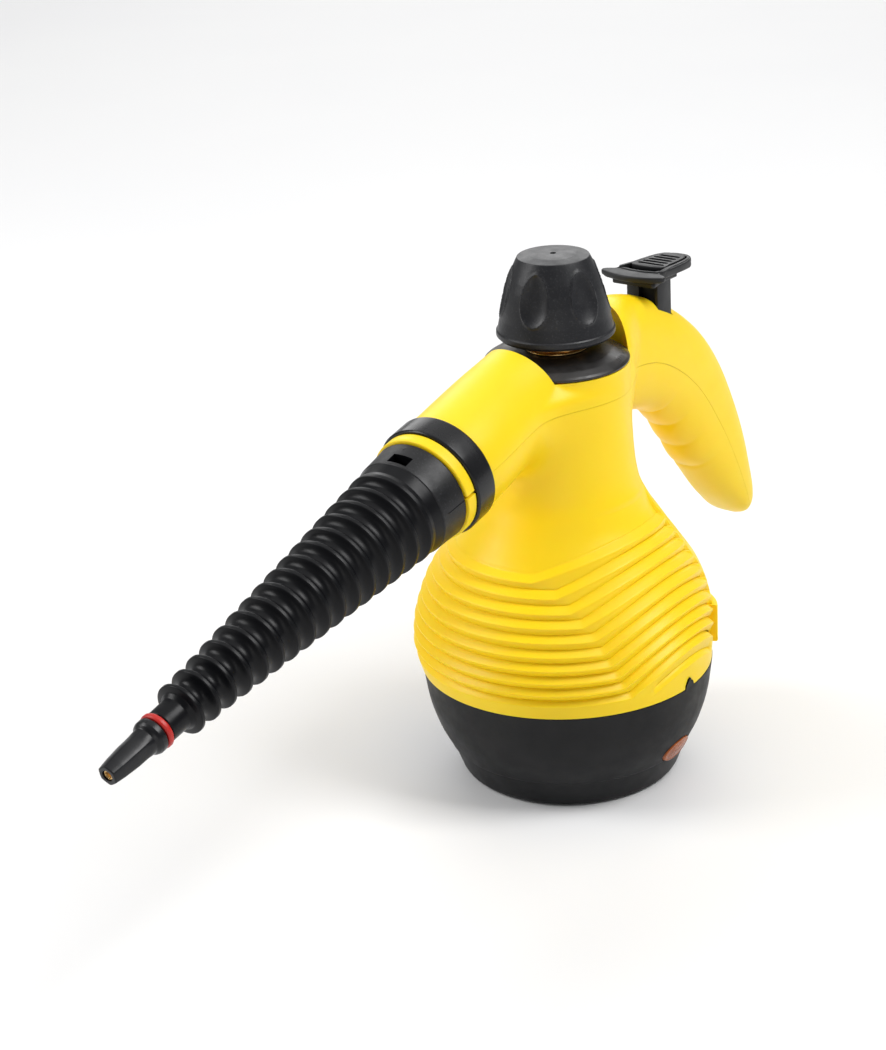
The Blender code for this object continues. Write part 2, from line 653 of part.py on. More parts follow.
profile = [(20.6, 0.3), (20.1, 6.0), (19.3, 16.0)]
for k in range(RINGS):
    s = RING_FIRST + RING_PITCH * k
    r = ring_radius(s)
    core = r - (2.6 if k < 12 else 2.6 + 0.25 * (k - 11))
    if k == RINGS - 1:
        core = 6.3
    profile += [(r, s - 1.4), (r, s + 1.4), (core, s + RING_PITCH / 2)]
profile = profile[:-1] + [(6.2, RING_FIRST + RING_PITCH * (RINGS - 1) + 3.8), (6.1, NOZZLE_END), (3.3, NOZZLE_END), (3.3, NOZZLE_END + 8.0)]
profile += [(1.8, NOZZLE_END + 8.0), (2.0, 146.0), (6.2, 110.0), (11.6, 40.0), (13.0, 19.0), (16.5, 18.2), (16.5, 0.3)]
nozzle = add("nozzle_cone", turned(profile, 18), BLACK, matrix=NOZZLE)
cut(nozzle, helper("nozzle_window", box(-4.2, 4.2, 14.0, 24.0, 7.0, 11.8), NOZZLE @ Matrix.Rotation(math.radians(-4.2), 4, "Z")))
add("nozzle_gasket", turned([(13.0, 15.4), (13.0, 17.8), (16.0, 17.8), (16.0, 15.4)], 20), RUBBER, matrix=NOZZLE)

# ---- jet tip ----
add("tip_ring", turned([(3.7, 151.2), (3.7, 153.6), (6.3, 153.6), (6.7, 153.0), (6.7, 151.8), (6.3, 151.2)], 24), RED, matrix=NOZZLE)


def hexed(r, s, a):
    """The tip is round at its collar and turns six-sided towards the end."""
    if s < 159 or r < 3.6:
        return r, s
    m = ((math.degrees(a) + 30) % 60 - 30) * math.pi / 180
    return r * math.cos(math.pi / 6) / math.cos(m) * 1.07, s


add(
    "jet_tip",
    turned(
        [
            (5.9, 153.9), (6.5, 154.5), (6.5, 156.4), (5.9, 157.6), (5.2, 158.2), (5.1, 161.0), (5.0, 167.0), (4.5, 173.0), (3.9, 177.0), (3.7, TIP_END),
            (2.1, TIP_END), (2.1, 170.0), (1.2, 169.0), (1.2, 162.0), (3.6, 161.0), (3.6, 153.9),
        ][::-1],
        24,
        wobble=hexed,
    ),
    BLACK,
    matrix=NOZZLE,
)
add("brass_jet", turned([(0.7, 170.4), (0.7, 177.0), (1.8, 177.0), (1.8, 170.4)], 14), BRASS, matrix=NOZZLE)

# ---- trigger ----
PLATE = [
    (0, 52.1), (5.6, 52.6), (10.2, 53.8), (14.0, 55.2), (15.4, 56.4), (15.4, 58.0), (13.4, 59.6), (11.0, 60.6), (10.4, 62.4), (10.2, 72.0),
    (9.6, 82.0), (8.2, 89.0), (5.4, 93.6), (2.0, 95.4),
]
outline = PLATE + [(-x, y) for x, y in PLATE[::-1] if x > 0]
trigger = add("trigger", slab(outline, 190.8, 194.6), BLACK)
cut(trigger, helper("trigger_skirt", slab([(-10.5, 56.4), (10.5, 56.4), (8.4, 66.0), (8.2, 79.0), (-8.2, 79.0), (-8.4, 66.0)], 189.2, 191.6)), "UNION")
cut(trigger, helper("trigger_stem", box(-7.5, 7.5, TRIGGER_Y0, TRIGGER_Y1, 165.0, 191.5)), "UNION")
cut(trigger, helper("trigger_stop", box(-7.4, 7.4, 62.2, 76.0, 164.6, 167.0)), "UNION")
cut(trigger, helper("trigger_nose", box(-3.0, 3.0, 67.4, 70.6, 163.4, 167.0)), "UNION")
cut(trigger, helper("trigger_tray", slab([(-7.4, 60.6), (7.4, 60.6), (7.4, 80.0), (6.4, 88.6), (3.8, 91.6), (-3.8, 91.6), (-6.4, 88.6), (-7.4, 80.0)], 193.0, 198.0)))
lock = add("trigger_lock", slab([(-6.9, 67.0), (6.9, 67.0), (6.9, 80.0), (5.9, 88.2), (3.5, 90.9), (-3.5, 90.9), (-5.9, 88.2), (-6.9, 80.0)], 193.3, 195.2), BLACK)
for k in range(5):
    y = 71.4 + 3.7 * k
    w = 6.0 - 0.35 * k
    cut(lock, helper(f"lock_slot{k}", box(-w, w, y - 0.75, y + 0.75, 194.5, 197.0)))

# ---- mains inlet ----
add(
    "cord_gland",
    turned([(3.6, 58.0), (3.6, 68.9), (7.2, 68.9), (8.0, 68.2), (8.0, 66.8), (5.7, 66.8), (5.7, 58.0)], 24),
    BLACK,
    matrix=Matrix.Translation((0, 0, INLET_Z * MM)) @ Matrix.Rotation(-math.pi / 2, 4, "X"),
)
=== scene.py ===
import math

import bmesh
import bpy
import numpy as np
from mathutils import Matrix, Vector


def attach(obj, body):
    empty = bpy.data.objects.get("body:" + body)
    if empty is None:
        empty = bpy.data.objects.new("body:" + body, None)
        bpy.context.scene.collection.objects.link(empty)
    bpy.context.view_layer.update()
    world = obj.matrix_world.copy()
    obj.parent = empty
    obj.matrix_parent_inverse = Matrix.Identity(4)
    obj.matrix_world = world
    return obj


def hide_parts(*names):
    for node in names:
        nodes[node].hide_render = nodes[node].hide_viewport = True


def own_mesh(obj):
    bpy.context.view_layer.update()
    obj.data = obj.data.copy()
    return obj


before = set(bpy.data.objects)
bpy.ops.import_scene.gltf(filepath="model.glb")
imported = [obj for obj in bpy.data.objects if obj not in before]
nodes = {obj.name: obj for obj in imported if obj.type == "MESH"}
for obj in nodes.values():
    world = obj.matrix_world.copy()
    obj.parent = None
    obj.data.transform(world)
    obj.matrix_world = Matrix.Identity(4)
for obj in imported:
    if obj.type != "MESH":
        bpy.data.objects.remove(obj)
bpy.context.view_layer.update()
MM = 0.001


# ---------------------------------------------------------------- numbers
def pchip(points):
    """A smooth curve through the points that doesn't overshoot them."""
    pts = sorted(points)
    xs = np.array([p[0] for p in pts], float)
    ys = np.array([p[1] for p in pts], float)
    h = np.diff(xs)
    d = np.diff(ys) / h
    m = np.zeros_like(ys)
    for i in range(1, len(xs) - 1):
        if d[i - 1] * d[i] > 0:
            w1, w2 = 2 * h[i] + h[i - 1], h[i] + 2 * h[i - 1]
            m[i] = (w1 + w2) / (w1 / d[i - 1] + w2 / d[i])
    m[0], m[-1] = d[0], d[-1]

    def f(x):
        x = np.clip(np.asarray(x, float), xs[0], xs[-1])
        i = np.clip(np.searchsorted(xs, x, side="right") - 1, 0, len(xs) - 2)
        t = (x - xs[i]) / h[i]
        return (
            (2 * t**3 - 3 * t**2 + 1) * ys[i]
            + (t**3 - 2 * t**2 + t) * h[i] * m[i]
            + (3 * t**2 - 2 * t**3) * ys[i + 1]
            + (t**3 - t**2) * h[i] * m[i + 1]
        )

    return f


def smoothstep(a, b, x):
    t = np.clip((np.asarray(x, float) - a) / (b - a), 0, 1)
    return t * t * (3 - 2 * t)


def smin(a, b, k):
    h = np.maximum(k - np.abs(a - b), 0) / k
    return np.minimum(a, b) - h * h * k / 4


def fillet(points, n=4, closed=True, r=0.0):
    """A profile with its corners rounded: each point is (x, y) or (x, y, radius)."""
    out = []
    m = len(points)
    for i, p in enumerate(points):
        rad = p[2] if len(p) > 2 else r
        if rad == 0 or (not closed and i in (0, m - 1)):
            out.append((p[0], p[1]))
            continue
        b = Vector(p[:2])
        u, v = Vector(points[i - 1][:2]) - b, Vector(points[(i + 1) % m][:2]) - b
        lu, lv = u.length, v.length
        u, v = u / lu, v / lv
        ang = math.acos(max(-1.0, min(1.0, u.dot(v))))
        if ang > math.pi - 0.03:
            out.append((p[0], p[1]))
            continue
        d = min(rad / math.tan(ang / 2), 0.47 * lu, 0.47 * lv)
        rr = d * math.tan(ang / 2)
        cen = b + (u + v).normalized() * (rr / math.sin(ang / 2))
        p0, p1 = b + u * d - cen, b + v * d - cen
        a0 = math.atan2(p0.y, p0.x)
        da = (math.atan2(p1.y, p1.x) - a0 + math.pi) % (2 * math.pi) - math.pi
        out += [(cen.x + rr * math.cos(a0 + da * k / n), cen.y + rr * math.sin(a0 + da * k / n)) for k in range(n + 1)]
    return out


def finer(profile, step, closed=False):
    """Extra points so that no stretch of the profile is longer than step."""
    pts = list(profile) + ([profile[0]] if closed else [])
    out = []
    for a, b in zip(pts, pts[1:]):
        n = max(1, int(math.ceil(math.dist(a, b) / step)))
        out += [(a[0] + (b[0] - a[0]) * k / n, a[1] + (b[1] - a[1]) * k / n) for k in range(n)]
    return out if closed else out + [pts[-1]]


# ---------------------------------------------------------------- meshes, in millimetres until they are placed
def loft(name, rings, closed=False, flip=None):
    """A solid from rings of points, shape (rows, columns, 3). closed joins the last ring to the first."""
    rings = np.asarray(rings, float)
    rows, cols = rings.shape[:2]
    idx = np.arange(rows * cols).reshape(rows, cols)
    nxt = np.roll(idx, -1, axis=1)
    low, high = (idx, np.roll(idx, -1, axis=0)) if closed else (idx[:-1], idx[1:])
    nlow, nhigh = (nxt, np.roll(nxt, -1, axis=0)) if closed else (nxt[:-1], nxt[1:])
    faces = np.stack([low, nlow, nhigh, high], -1).reshape(-1, 4).tolist()
    if not closed:
        faces += [idx[0][::-1].tolist(), idx[-1].tolist()]
    return solid(name, rings.reshape(-1, 3), faces)


def solid(name, verts, faces):
    mesh = bpy.data.meshes.new(name)
    mesh.from_pydata([tuple(v) for v in np.asarray(verts).tolist()], [], faces)
    bm = bmesh.new()
    bm.from_mesh(mesh)
    bmesh.ops.recalc_face_normals(bm, faces=bm.faces)
    if bm.calc_volume(signed=True) < 0:
        bmesh.ops.reverse_faces(bm, faces=bm.faces)
    bm.to_mesh(mesh)
    bm.free()
    obj = bpy.data.objects.new(name, mesh)
    bpy.context.scene.collection.objects.link(obj)
    return obj


def lathe(name, profile, steps, ring=True, shape=None, phase=0.0):
    """A profile of (r, z) turned about Z. ring means that the profile closes on itself; otherwise both ends are capped."""
    prof = np.array(profile, float)
    a = phase + 2 * np.pi * np.arange(steps) / steps
    r = np.repeat(prof[:, :1], steps, 1)
    z = np.repeat(prof[:, 1:2], steps, 1)
    aa = np.repeat(a[None], len(prof), 0)
    if shape:
        r, z = shape(r, z, aa)
    return loft(name, np.stack([r * np.cos(aa), r * np.sin(aa), z], -1), closed=ring)


def prism(name, outline, low, high, axis="Z"):
    ring = []
    for h in (low, high):
        ring.append([{"X": (h, p[0], p[1]), "Y": (p[0], h, p[1]), "Z": (p[0], p[1], h)}[axis] for p in outline])
    return loft(name, ring)


def block(name, x0, x1, y0, y1, z0, z1):
    return prism(name, [(x0, y0), (x1, y0), (x1, y1), (x0, y1)], z0, z1)


def cyl(name, r, z0, z1, steps=48, x=0.0, y=0.0):
    return move(lathe(name, [(r, z0), (r, z1)], steps, ring=False, phase=0.013), Matrix.Translation((x, y, 0)))


def rod(name, r, a, b, axis, at, steps=32):
    """A round bar along X or Y; at is its (y, z) or (x, z)."""
    obj = lathe(name, [(r, a), (r, b)], steps, ring=False, phase=0.013)
    if axis == "X":
        return move(obj, Matrix.Translation((0, at[0], at[1])) @ Matrix.Rotation(math.pi / 2, 4, "Y"))
    return move(obj, Matrix.Translation((at[0], 0, at[1])) @ Matrix.Rotation(-math.pi / 2, 4, "X"))


def move(obj, matrix):
    obj.data.transform(matrix)
    return obj


def bevel(obj, width, segments=2, angle=32):
    """Rounds the edges that turn by more than angle, and applies it."""
    m = obj.modifiers.new("round", "BEVEL")
    m.width = width
    m.segments = segments
    m.limit_method = "ANGLE"
    m.angle_limit = math.radians(angle)
    m.use_clamp_overlap = True
    return applied(obj)


def applied(obj):
    bpy.context.view_layer.update()
    graph = bpy.context.evaluated_depsgraph_get()
    new = bpy.data.meshes.new_from_object(obj.evaluated_get(graph))
    obj.modifiers.clear()
    old = obj.data
    obj.data = new
    bpy.data.meshes.remove(old)
    return obj


def combine(obj, other, how, keep=False):
    """A Boolean with another object, applied."""
    for solver in ("MANIFOLD", "EXACT"):
        m = obj.modifiers.new("with", "BOOLEAN")
        m.operation = how
        m.object = other
        m.solver = solver
        graph = bpy.context.evaluated_depsgraph_get()
        new = bpy.data.meshes.new_from_object(obj.evaluated_get(graph))
        obj.modifiers.clear()
        same = len(new.vertices) == len(obj.data.vertices) and len(new.polygons) == len(obj.data.polygons)
        if len(new.vertices) and not same:
            break
    old = obj.data
    obj.data = new
    bpy.data.meshes.remove(old)
    if not keep:
        bpy.data.objects.remove(other)
    return obj


def points_of(obj):
    co = np.zeros(len(obj.data.vertices) * 3)
    obj.data.vertices.foreach_get("co", co)
    return co.reshape(-1, 3)


def set_points(obj, co):
    obj.data.vertices.foreach_set("co", np.asarray(co, float).reshape(-1))
    obj.data.update()


def place(obj, body, node, look, sharp=35):
    """Millimetres to metres, then onto its body in place of its CAD node."""
    obj.data.transform(Matrix.Scale(MM, 4))
    bm = bmesh.new()
    bm.from_mesh(obj.data)
    bmesh.ops.remove_doubles(bm, verts=bm.verts, dist=2e-7)
    bmesh.ops.dissolve_degenerate(bm, edges=bm.edges, dist=1e-7)
    bm.to_mesh(obj.data)
    bm.free()
    obj.data.shade_smooth()
    obj.data.set_sharp_from_angle(angle=math.radians(sharp))
    obj.data.materials.clear()
    obj.data.materials.append(look)
    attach(obj, body)
    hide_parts(node)
    return obj


# nozzle frame: local +Z runs out along the nozzle, local +Y points up and forward
NOZZLE = Matrix.Translation((0, -91.6, 151.5)) @ Matrix.Rotation(math.radians(102.29), 4, "X")
TO_NOZZLE = np.array(NOZZLE.inverted())


# ---------------------------------------------------------------- materials
class Look:
    """A node material built up in steps: grain and roughness come from noise in the object's own space."""

    def __init__(self, name, colour, rough, metal=0.0, **principled):
        self.mat = bpy.data.materials.new(name)
        self.mat.use_nodes = True
        self.tree = self.mat.node_tree
        self.shader = self.tree.nodes["Principled BSDF"]
        self.shader.inputs["Base Color"].default_value = (*colour, 1)
        self.shader.inputs["Roughness"].default_value = rough
        self.shader.inputs["Metallic"].default_value = metal
        for key, value in principled.items():
            self.shader.inputs[key.replace("_", " ")].default_value = value
        self.colour = colour
        self.coords = self.tree.nodes.new("ShaderNodeTexCoord").outputs["Object"]
        self.normal = None

    def noise(self, scale, detail=3.0, rough=0.55, stretch=None, distortion=0.0):
        co = self.coords
        if stretch:
            mapping = self.tree.nodes.new("ShaderNodeMapping")
            mapping.inputs["Scale"].default_value = stretch
            self.tree.links.new(co, mapping.inputs["Vector"])
            co = mapping.outputs["Vector"]
        n = self.tree.nodes.new("ShaderNodeTexNoise")
        n.inputs["Scale"].default_value = scale
        n.inputs["Detail"].default_value = detail
        n.inputs["Roughness"].default_value = rough
        n.inputs["Distortion"].default_value = distortion
        self.tree.links.new(co, n.inputs["Vector"])
        return n.outputs["Fac"]

    def ramp(self, source, a, b, low, high):
        """source from a to b is mapped to low to high."""
        n = self.tree.nodes.new("ShaderNodeMapRange")
        n.inputs["From Min"].default_value = a
        n.inputs["From Max"].default_value = b
        n.inputs["To Min"].default_value = low
        n.inputs["To Max"].default_value = high
        self.tree.links.new(source, n.inputs["Value"])
        return n.outputs["Result"]

    def mix(self, source, first, second):
        n = self.tree.nodes.new("ShaderNodeMix")
        n.data_type = "RGBA"
        for socket, value in ((n.inputs[6], first), (n.inputs[7], second)):
            if isinstance(value, tuple):
                socket.default_value = (*value, 1)
            else:
                self.tree.links.new(value, socket)
        self.tree.links.new(source, n.inputs[0])
        return n.outputs[2]

    def paint(self, source, first, second):
        out = self.mix(source, first, second)
        self.tree.links.new(out, self.shader.inputs["Base Color"])
        return out

    def roughness(self, source):
        self.tree.links.new(source, self.shader.inputs["Roughness"])
        return self

    def bump(self, source, depth_mm, strength=1.0):
        n = self.tree.nodes.new("ShaderNodeBump")
        n.inputs["Strength"].default_value = strength
        n.inputs["Distance"].default_value = depth_mm * MM
        self.tree.links.new(source, n.inputs["Height"])
        if self.normal:
            self.tree.links.new(self.normal, n.inputs["Normal"])
        self.normal = n.outputs["Normal"]
        self.tree.links.new(self.normal, self.shader.inputs["Normal"])
        return self


def shade(colour, f):
    return tuple(min(1.0, c * f) for c in colour)


def yellow_moulding(name):
    """Satin yellow plastic: a faint flow mark, a fine orange peel and a few rubbed places."""
    c = (0.92, 0.632, 0.008)
    look = Look(name, c, 0.4, Specular_IOR_Level=0.3)
    look.shader.inputs["Subsurface Weight"].default_value = 0.22
    look.shader.inputs["Subsurface Radius"].default_value = (1.0, 0.42, 0.05)
    look.shader.inputs["Subsurface Scale"].default_value = 0.003
    flow = look.noise(14, 2.0, 0.5, distortion=0.4)
    look.paint(look.ramp(flow, 0.3, 0.7, 0.0, 1.0), shade(c, 0.975), (0.93, 0.647, 0.010))
    worn = look.noise(60, 5.0, 0.62)
    look.roughness(look.ramp(worn, 0.3, 0.75, 0.34, 0.48))
    look.bump(look.noise(900, 2.0, 0.5), 0.018, 0.5)
    look.bump(look.noise(2600, 2.0, 0.6), 0.006, 0.6)
    return look.mat


def black_moulding(name, colour=(0.0185, 0.019, 0.0215), rough=(0.40, 0.56), grain=0.035, scale=1500, dust=0.35, gloss=0.34, film=(0.03, 0.0295, 0.029)):
    """Black plastic with a spark-eroded grain; the grain catches a little dust."""
    look = Look(name, colour, sum(rough) / 2, Specular_IOR_Level=gloss)
    fine = look.noise(scale, 3.0, 0.62)
    wide = look.noise(42, 4.0, 0.6)
    dusty = look.ramp(wide, 0.45, 0.8, 0.0, dust)
    look.paint(dusty, colour, film)
    look.roughness(look.ramp(look.noise(120, 4.0, 0.6), 0.3, 0.72, rough[0], rough[1]))
    look.bump(fine, grain, 0.7)
    return look.mat


def speckled(mat_name, colour, spot):
    """Black moulding whose coarse spark-eroded grain shows as light specks."""
    look = Look(mat_name, colour, 0.42, Specular_IOR_Level=0.36)
    specks = look.noise(1250, 2.5, 0.7)
    look.paint(look.ramp(specks, 0.55, 0.72, 0.0, 0.75), colour, spot)
    look.roughness(look.ramp(look.noise(160, 4.0, 0.62), 0.3, 0.72, 0.34, 0.5))
    look.bump(specks, 0.05, 0.75)
    look.bump(look.noise(28, 3.0, 0.5), 0.05, 0.3)
    return look.mat


def metal(name, colour, rough, stretch=(1, 1, 30), scale=260):
    """Turned or drawn metal with fine tool marks."""
    look = Look(name, colour, rough, 1.0)
    lines = look.noise(scale, 3.0, 0.6, stretch=stretch)
    look.roughness(look.ramp(lines, 0.3, 0.7, rough * 0.8, rough * 1.3))
    tone = look.noise(90, 3.0, 0.6)
    look.paint(look.ramp(tone, 0.35, 0.75, 0.0, 0.5), colour, shade(colour, 0.72))
    look.bump(lines, 0.008, 0.5)
    return look.mat


def rubber(name, colour=(0.014, 0.014, 0.015), rough=0.72):
    look = Look(name, colour, rough, Specular_IOR_Level=0.35)
    look.paint(look.ramp(look.noise(80, 4.0, 0.6), 0.4, 0.8, 0.0, 0.6), colour, shade(colour, 1.6))
    look.roughness(look.ramp(look.noise(300, 3.0, 0.6), 0.3, 0.7, rough - 0.1, rough + 0.1))
    look.bump(look.noise(1200, 3.0, 0.6), 0.02, 0.5)
    return look.mat


YELLOW = yellow_moulding("yellow_moulding")
BLACK = black_moulding("black_moulding", (0.0085, 0.0088, 0.01))
BLACK_BASE = black_moulding("black_base", (0.0042, 0.0044, 0.0053), (0.42, 0.58), 0.03, 1300, 0.12, 0.24)
BLACK_CAP = speckled("black_cap", (0.0078, 0.0082, 0.0102), (0.031, 0.032, 0.035))
BLACK_SATIN = black_moulding("black_satin", (0.003, 0.0032, 0.0042), (0.28, 0.4), 0.012, 1800, 0.05, 0.17)
BLACK_BAND = black_moulding("black_band", (0.0055, 0.0058, 0.007), (0.2, 0.32), 0.01, 1600, 0.1, 0.3)
BLACK_TIP = black_moulding("black_tip", (0.0035, 0.0037, 0.0052), (0.26, 0.36), 0.02, 900, 0.3, 0.3, (0.02, 0.02, 0.024))
BLACK_SOCKET = speckled("black_socket", (0.0028, 0.003, 0.004), (0.024, 0.025, 0.029))
BLACK_FLANGE = black_moulding("black_flange", (0.010, 0.0088, 0.0082), (0.22, 0.55), 0.05, 700, 0.9, 0.45, (0.05, 0.041, 0.034))
BRASS = metal("turned_brass", (0.72, 0.47, 0.19), 0.28)
STEEL = metal("plain_steel", (0.58, 0.58, 0.59), 0.32)
ALU = metal("cast_aluminium", (0.72, 0.72, 0.73), 0.46, (1, 1, 1), 500)
COPPER = metal("drawn_copper", (0.75, 0.4, 0.25), 0.3)
RUBBER = rubber("black_rubber")
RED = rubber("red_rubber", (0.40, 0.016, 0.012), 0.4)


def off_white():
    look = Look("off_white_moulding", (0.7, 0.68, 0.62), 0.48)
    look.paint(look.ramp(look.noise(30, 3.0), 0.35, 0.7, 0.0, 1.0), (0.7, 0.68, 0.62), (0.64, 0.61, 0.54))
    look.bump(look.noise(900, 2.0), 0.02, 0.4)
    return look.mat


WHITE = off_white()


def amber():
    """Tinted clear plastic over a pale lamp: deep orange, glossy, a little light passes inside."""
    look = Look("amber_lens", (0.38, 0.105, 0.028), 0.34, Specular_IOR_Level=0.3)
    look.shader.inputs["Coat Weight"].default_value = 0.12
    look.shader.inputs["Coat Roughness"].default_value = 0.12
    depth = look.noise(220, 3.0, 0.6)
    look.paint(look.ramp(depth, 0.3, 0.72, 0.0, 1.0), (0.44, 0.125, 0.035), (0.25, 0.058, 0.015))
    look.roughness(look.ramp(look.noise(500, 2.0), 0.3, 0.7, 0.22, 0.36))
    return look.mat


AMBER = amber()

CARRIED = {
    "base_screw_": STEEL, "boiler_bolt_": STEEL, "boiler_bottom": ALU, "boiler_top": ALU, "boiler_gasket": RUBBER,
    "element_lead_": RUBBER, "filler_neck": BRASS, "heating_element": STEEL,
    "indicator_lamp": WHITE, "lamp_holder": WHITE, "lever_bracket": BLACK, "lever_pin": STEEL,
    "steam_pipe": COPPER, "terminal_block": WHITE, "thermal_cutout": STEEL, "thermostat": STEEL,
    "thermostat_body": WHITE, "valve_body": BRASS, "valve_lever": BLACK, "valve_pin": STEEL, "valve_spring": STEEL,
}
for node, obj in nodes.items():
    for start, look in CARRIED.items():
        if node.startswith(start):
            obj.data.materials.clear()
            obj.data.materials.append(look)
nodes["thermostat_body"].data.materials[0] = WHITE


# ---------------------------------------------------------------- yellow casing
WALL = 2.4
SEAT_Z = 174.4
SPOUT_R = 21.5
HANDLE_HALF = 13.0
PAD_R = 62.15
INLET_Z = 59.0
TRIGGER_Y0, TRIGGER_Y1 = 63.8, 74.4
CREST = 2.3          # a rib's crest below its groove

ENVELOPE = pchip([
    (46.8, 59.9), (52, 61.2), (58, 62.2), (66, 61.5), (75, 59.4), (85, 55.6), (95, 49.3), (105, 42.4),
    (115, 35.7), (125, 31.4), (135, 29.8), (148, 29.1), (160, 28.7), (182, 28.7),
])
RIBS = [
    (101.2, 9.5, 71.5), (96.1, 9.6, 60.0), (91.0, 9.9, 54.2), (86.1, 10.0, 49.2), (80.8, 10.5, 45.0),
    (75.4, 11.1, 42.0), (70.2, 11.1, 39.7), (65.0, 11.1, 37.0), (59.9, 11.1, 35.0), (54.6, 11.5, 31.6),
]
RIB_DEPTH = 1.85


def groove(k, a):
    """Height of the k-th groove at angle a, in degrees from +X. The last one is short: it ends at both sides of the arch."""
    if k < len(RIBS):
        z, rise, half = RIBS[k]
        u = np.abs(a) / half
        return z + rise * np.maximum(0, 1 - u * u)
    return np.maximum(59.1 - 0.0127 * a * a, 49.8)


def groove_depth(k, a):
    if k < len(RIBS):
        return RIB_DEPTH + 0 * a
    return 1.25 * smoothstep(22.5, 19.5, np.abs(a))


def eased(s, soft=0.22, crisp=0.12):
    """0 in a groove to 1 on a crest, round in the groove and crisp on the crest."""
    s = np.clip(s, 0, 1)
    low = np.where(s < soft, s * s / (2 * soft) + soft / 2, s)
    high = np.where(s > 1 - crisp, low - (s - 1 + crisp) ** 2 / (2 * crisp), low)
    return (high - soft / 2) / (1 - crisp / 2 - soft / 2)


def nick(distance, depth):
    """The sharp bottom of a groove, by the distance from it."""
    return 0.45 * depth / RIB_DEPTH * np.clip(1 - distance / 0.55, 0, 1)


def upper_depth(z, a):
    return RIB_DEPTH * (1 - smoothstep(0, 15, z - groove(0, a)))


# the belly isn't quite round: it is fuller towards the front left and flatter at its right-hand back
FLATTER = pchip([(46.8, 0.35), (50, 0.8), (57, 1.35), (66, 1.1), (80, 0.6), (100, 0.5), (112, 0), (182, 0)])
FULLER = pchip([(46.8, 0.1), (50, -0.2), (57, -0.55), (66, -0.2), (80, 0), (112, 0), (182, 0)])


def lean(z, a):
    return FULLER(z) - FLATTER(z) * np.cos(np.radians(a - 34.0))


def ribbed(a):
    """1 where the body is ribbed, 0 on the plain panel at its back."""
    return np.where(np.abs(a - 90.0) < 56.6, 0.0, 1.0)


def body_rings(steps=300):
    a = (np.arange(steps) * 360.0 / steps + 180) % 360 - 180
    rows = []
    for z in np.linspace(176, 121, 45):
        rows.append((z + 0 * a, 0 * a))
    top = groove(0, a)
    for t in np.linspace(0, 1, 15)[:-1]:
        z = 120 - (120 - top) * (1 - (1 - t) ** 1.4)
        rows.append((z, upper_depth(z, a)))
    ends = len(RIBS)
    stops = [0.0, 0.12, 0.26, 0.42, 0.6, 0.76, 0.88, 0.95, 1.0]
    falls = [0.04, 0.1, 0.2, 0.34, 0.5, 0.64, 0.76, 0.87, 0.95]
    for k in range(ends + 1):
        z0 = groove(k, a)
        z1 = groove(k + 1, a) if k < ends else 46.8 + 0 * a
        gap = z0 - z1
        crest = np.minimum(CREST / gap, 0.46)
        d0 = groove_depth(k, a)
        d1 = groove_depth(k + 1, a) if k < ends else 0 * a
        # the first groove is a soft step, and those at the right are the sharpest
        keen = 1 + 0.9 * smoothstep(-38, -8, a)
        n0, n1 = d0 * keen * (0.3 if k == 0 else 1), d1 * keen
        for s in stops:
            rows.append((z0 - gap * crest * s, d0 * (1 - eased(s)) + nick(gap * crest * s, n0)))
        for s in falls:
            rows.append((z0 - gap * (crest + (1 - crest) * s), d1 * (1 - eased(1 - s)) + nick(gap * (1 - crest) * (1 - s), n1)))
    rows.append((46.8 + 0 * a, 0 * a))
    rad = np.radians(a)
    out = []
    for z, depth in rows:
        r = ENVELOPE(z) + lean(z, a) - depth * ribbed(a) - 0.12 * (1 - ribbed(a))
        out.append(np.stack([r * np.cos(rad), r * np.sin(rad), z], -1))
    return out


def narrow(s):
    """The spout is narrower across X where it meets the neck."""
    return 1 - 0.11 * smoothstep(-26, -68, s)


def aside(s):
    """The spout's middle is a little to the left of the neck's."""
    return -2.1 * smoothstep(-20, -60, s)


def spout_rings(r, back, front, steps=112, lip=0.0, rows=64):
    a = 2 * np.pi * np.arange(steps) / steps
    s = np.linspace(back, front - lip, rows)
    radius = np.full(rows, float(r))
    if lip:
        q = np.radians([22, 45, 67, 90])
        s = np.r_[s, front - lip + lip * np.sin(q)]
        radius = np.r_[radius, r - lip + lip * np.cos(q)]
    k = narrow(s)
    return np.stack([aside(s)[:, None] + (radius * k)[:, None] * np.cos(a), radius[:, None] * np.sin(a), np.repeat(s[:, None], steps, 1)], -1)


STATIONS = np.array([
    (14.0, 167.0, 23.0, 19.0, 1), (30.0, 165.5, 25.5, 22.0, 1), (44.0, 162.4, 25.9, 22.5, 1), (57.0, 157.8, 25.0, 21.3, 1),
    (69.0, 151.8, 24.8, 19.6, 1), (80.2, 144.5, 24.2, 19.5, 1), (88.3, 137.5, 23.8, 20.4, 1), (95.5, 129.5, 23.2, 20.9, 1),
    (102.1, 121.0, 22.1, 20.8, 1), (108.4, 112.3, 20.4, 20.3, 1), (114.3, 103.3, 18.6, 18.6, 1), (119.7, 94.0, 16.5, 16.6, 1),
    (124.7, 84.5, 14.0, 13.8, 0.98), (129.3, 75.6, 11.8, 9.8, 0.95), (132.8, 68.9, 9.6, 7.0, 0.88), (135.0, 64.7, 7.0, 4.4, 0.72),
    (136.2, 62.4, 3.4, 2.0, 0.4),
])
ALONG = np.r_[0, np.cumsum(np.hypot(np.diff(STATIONS[:, 0]), np.diff(STATIONS[:, 1])))]
CURVES = [pchip(list(zip(ALONG, STATIONS[:, k]))) for k in range(5)]
FINE = np.linspace(0, ALONG[-1], 172)


def soften(v, times):
    for _ in range(times):
        v = np.r_[v[0], (v[:-2] + 2 * v[1:-1] + v[2:]) / 4, v[-1]]
    return v


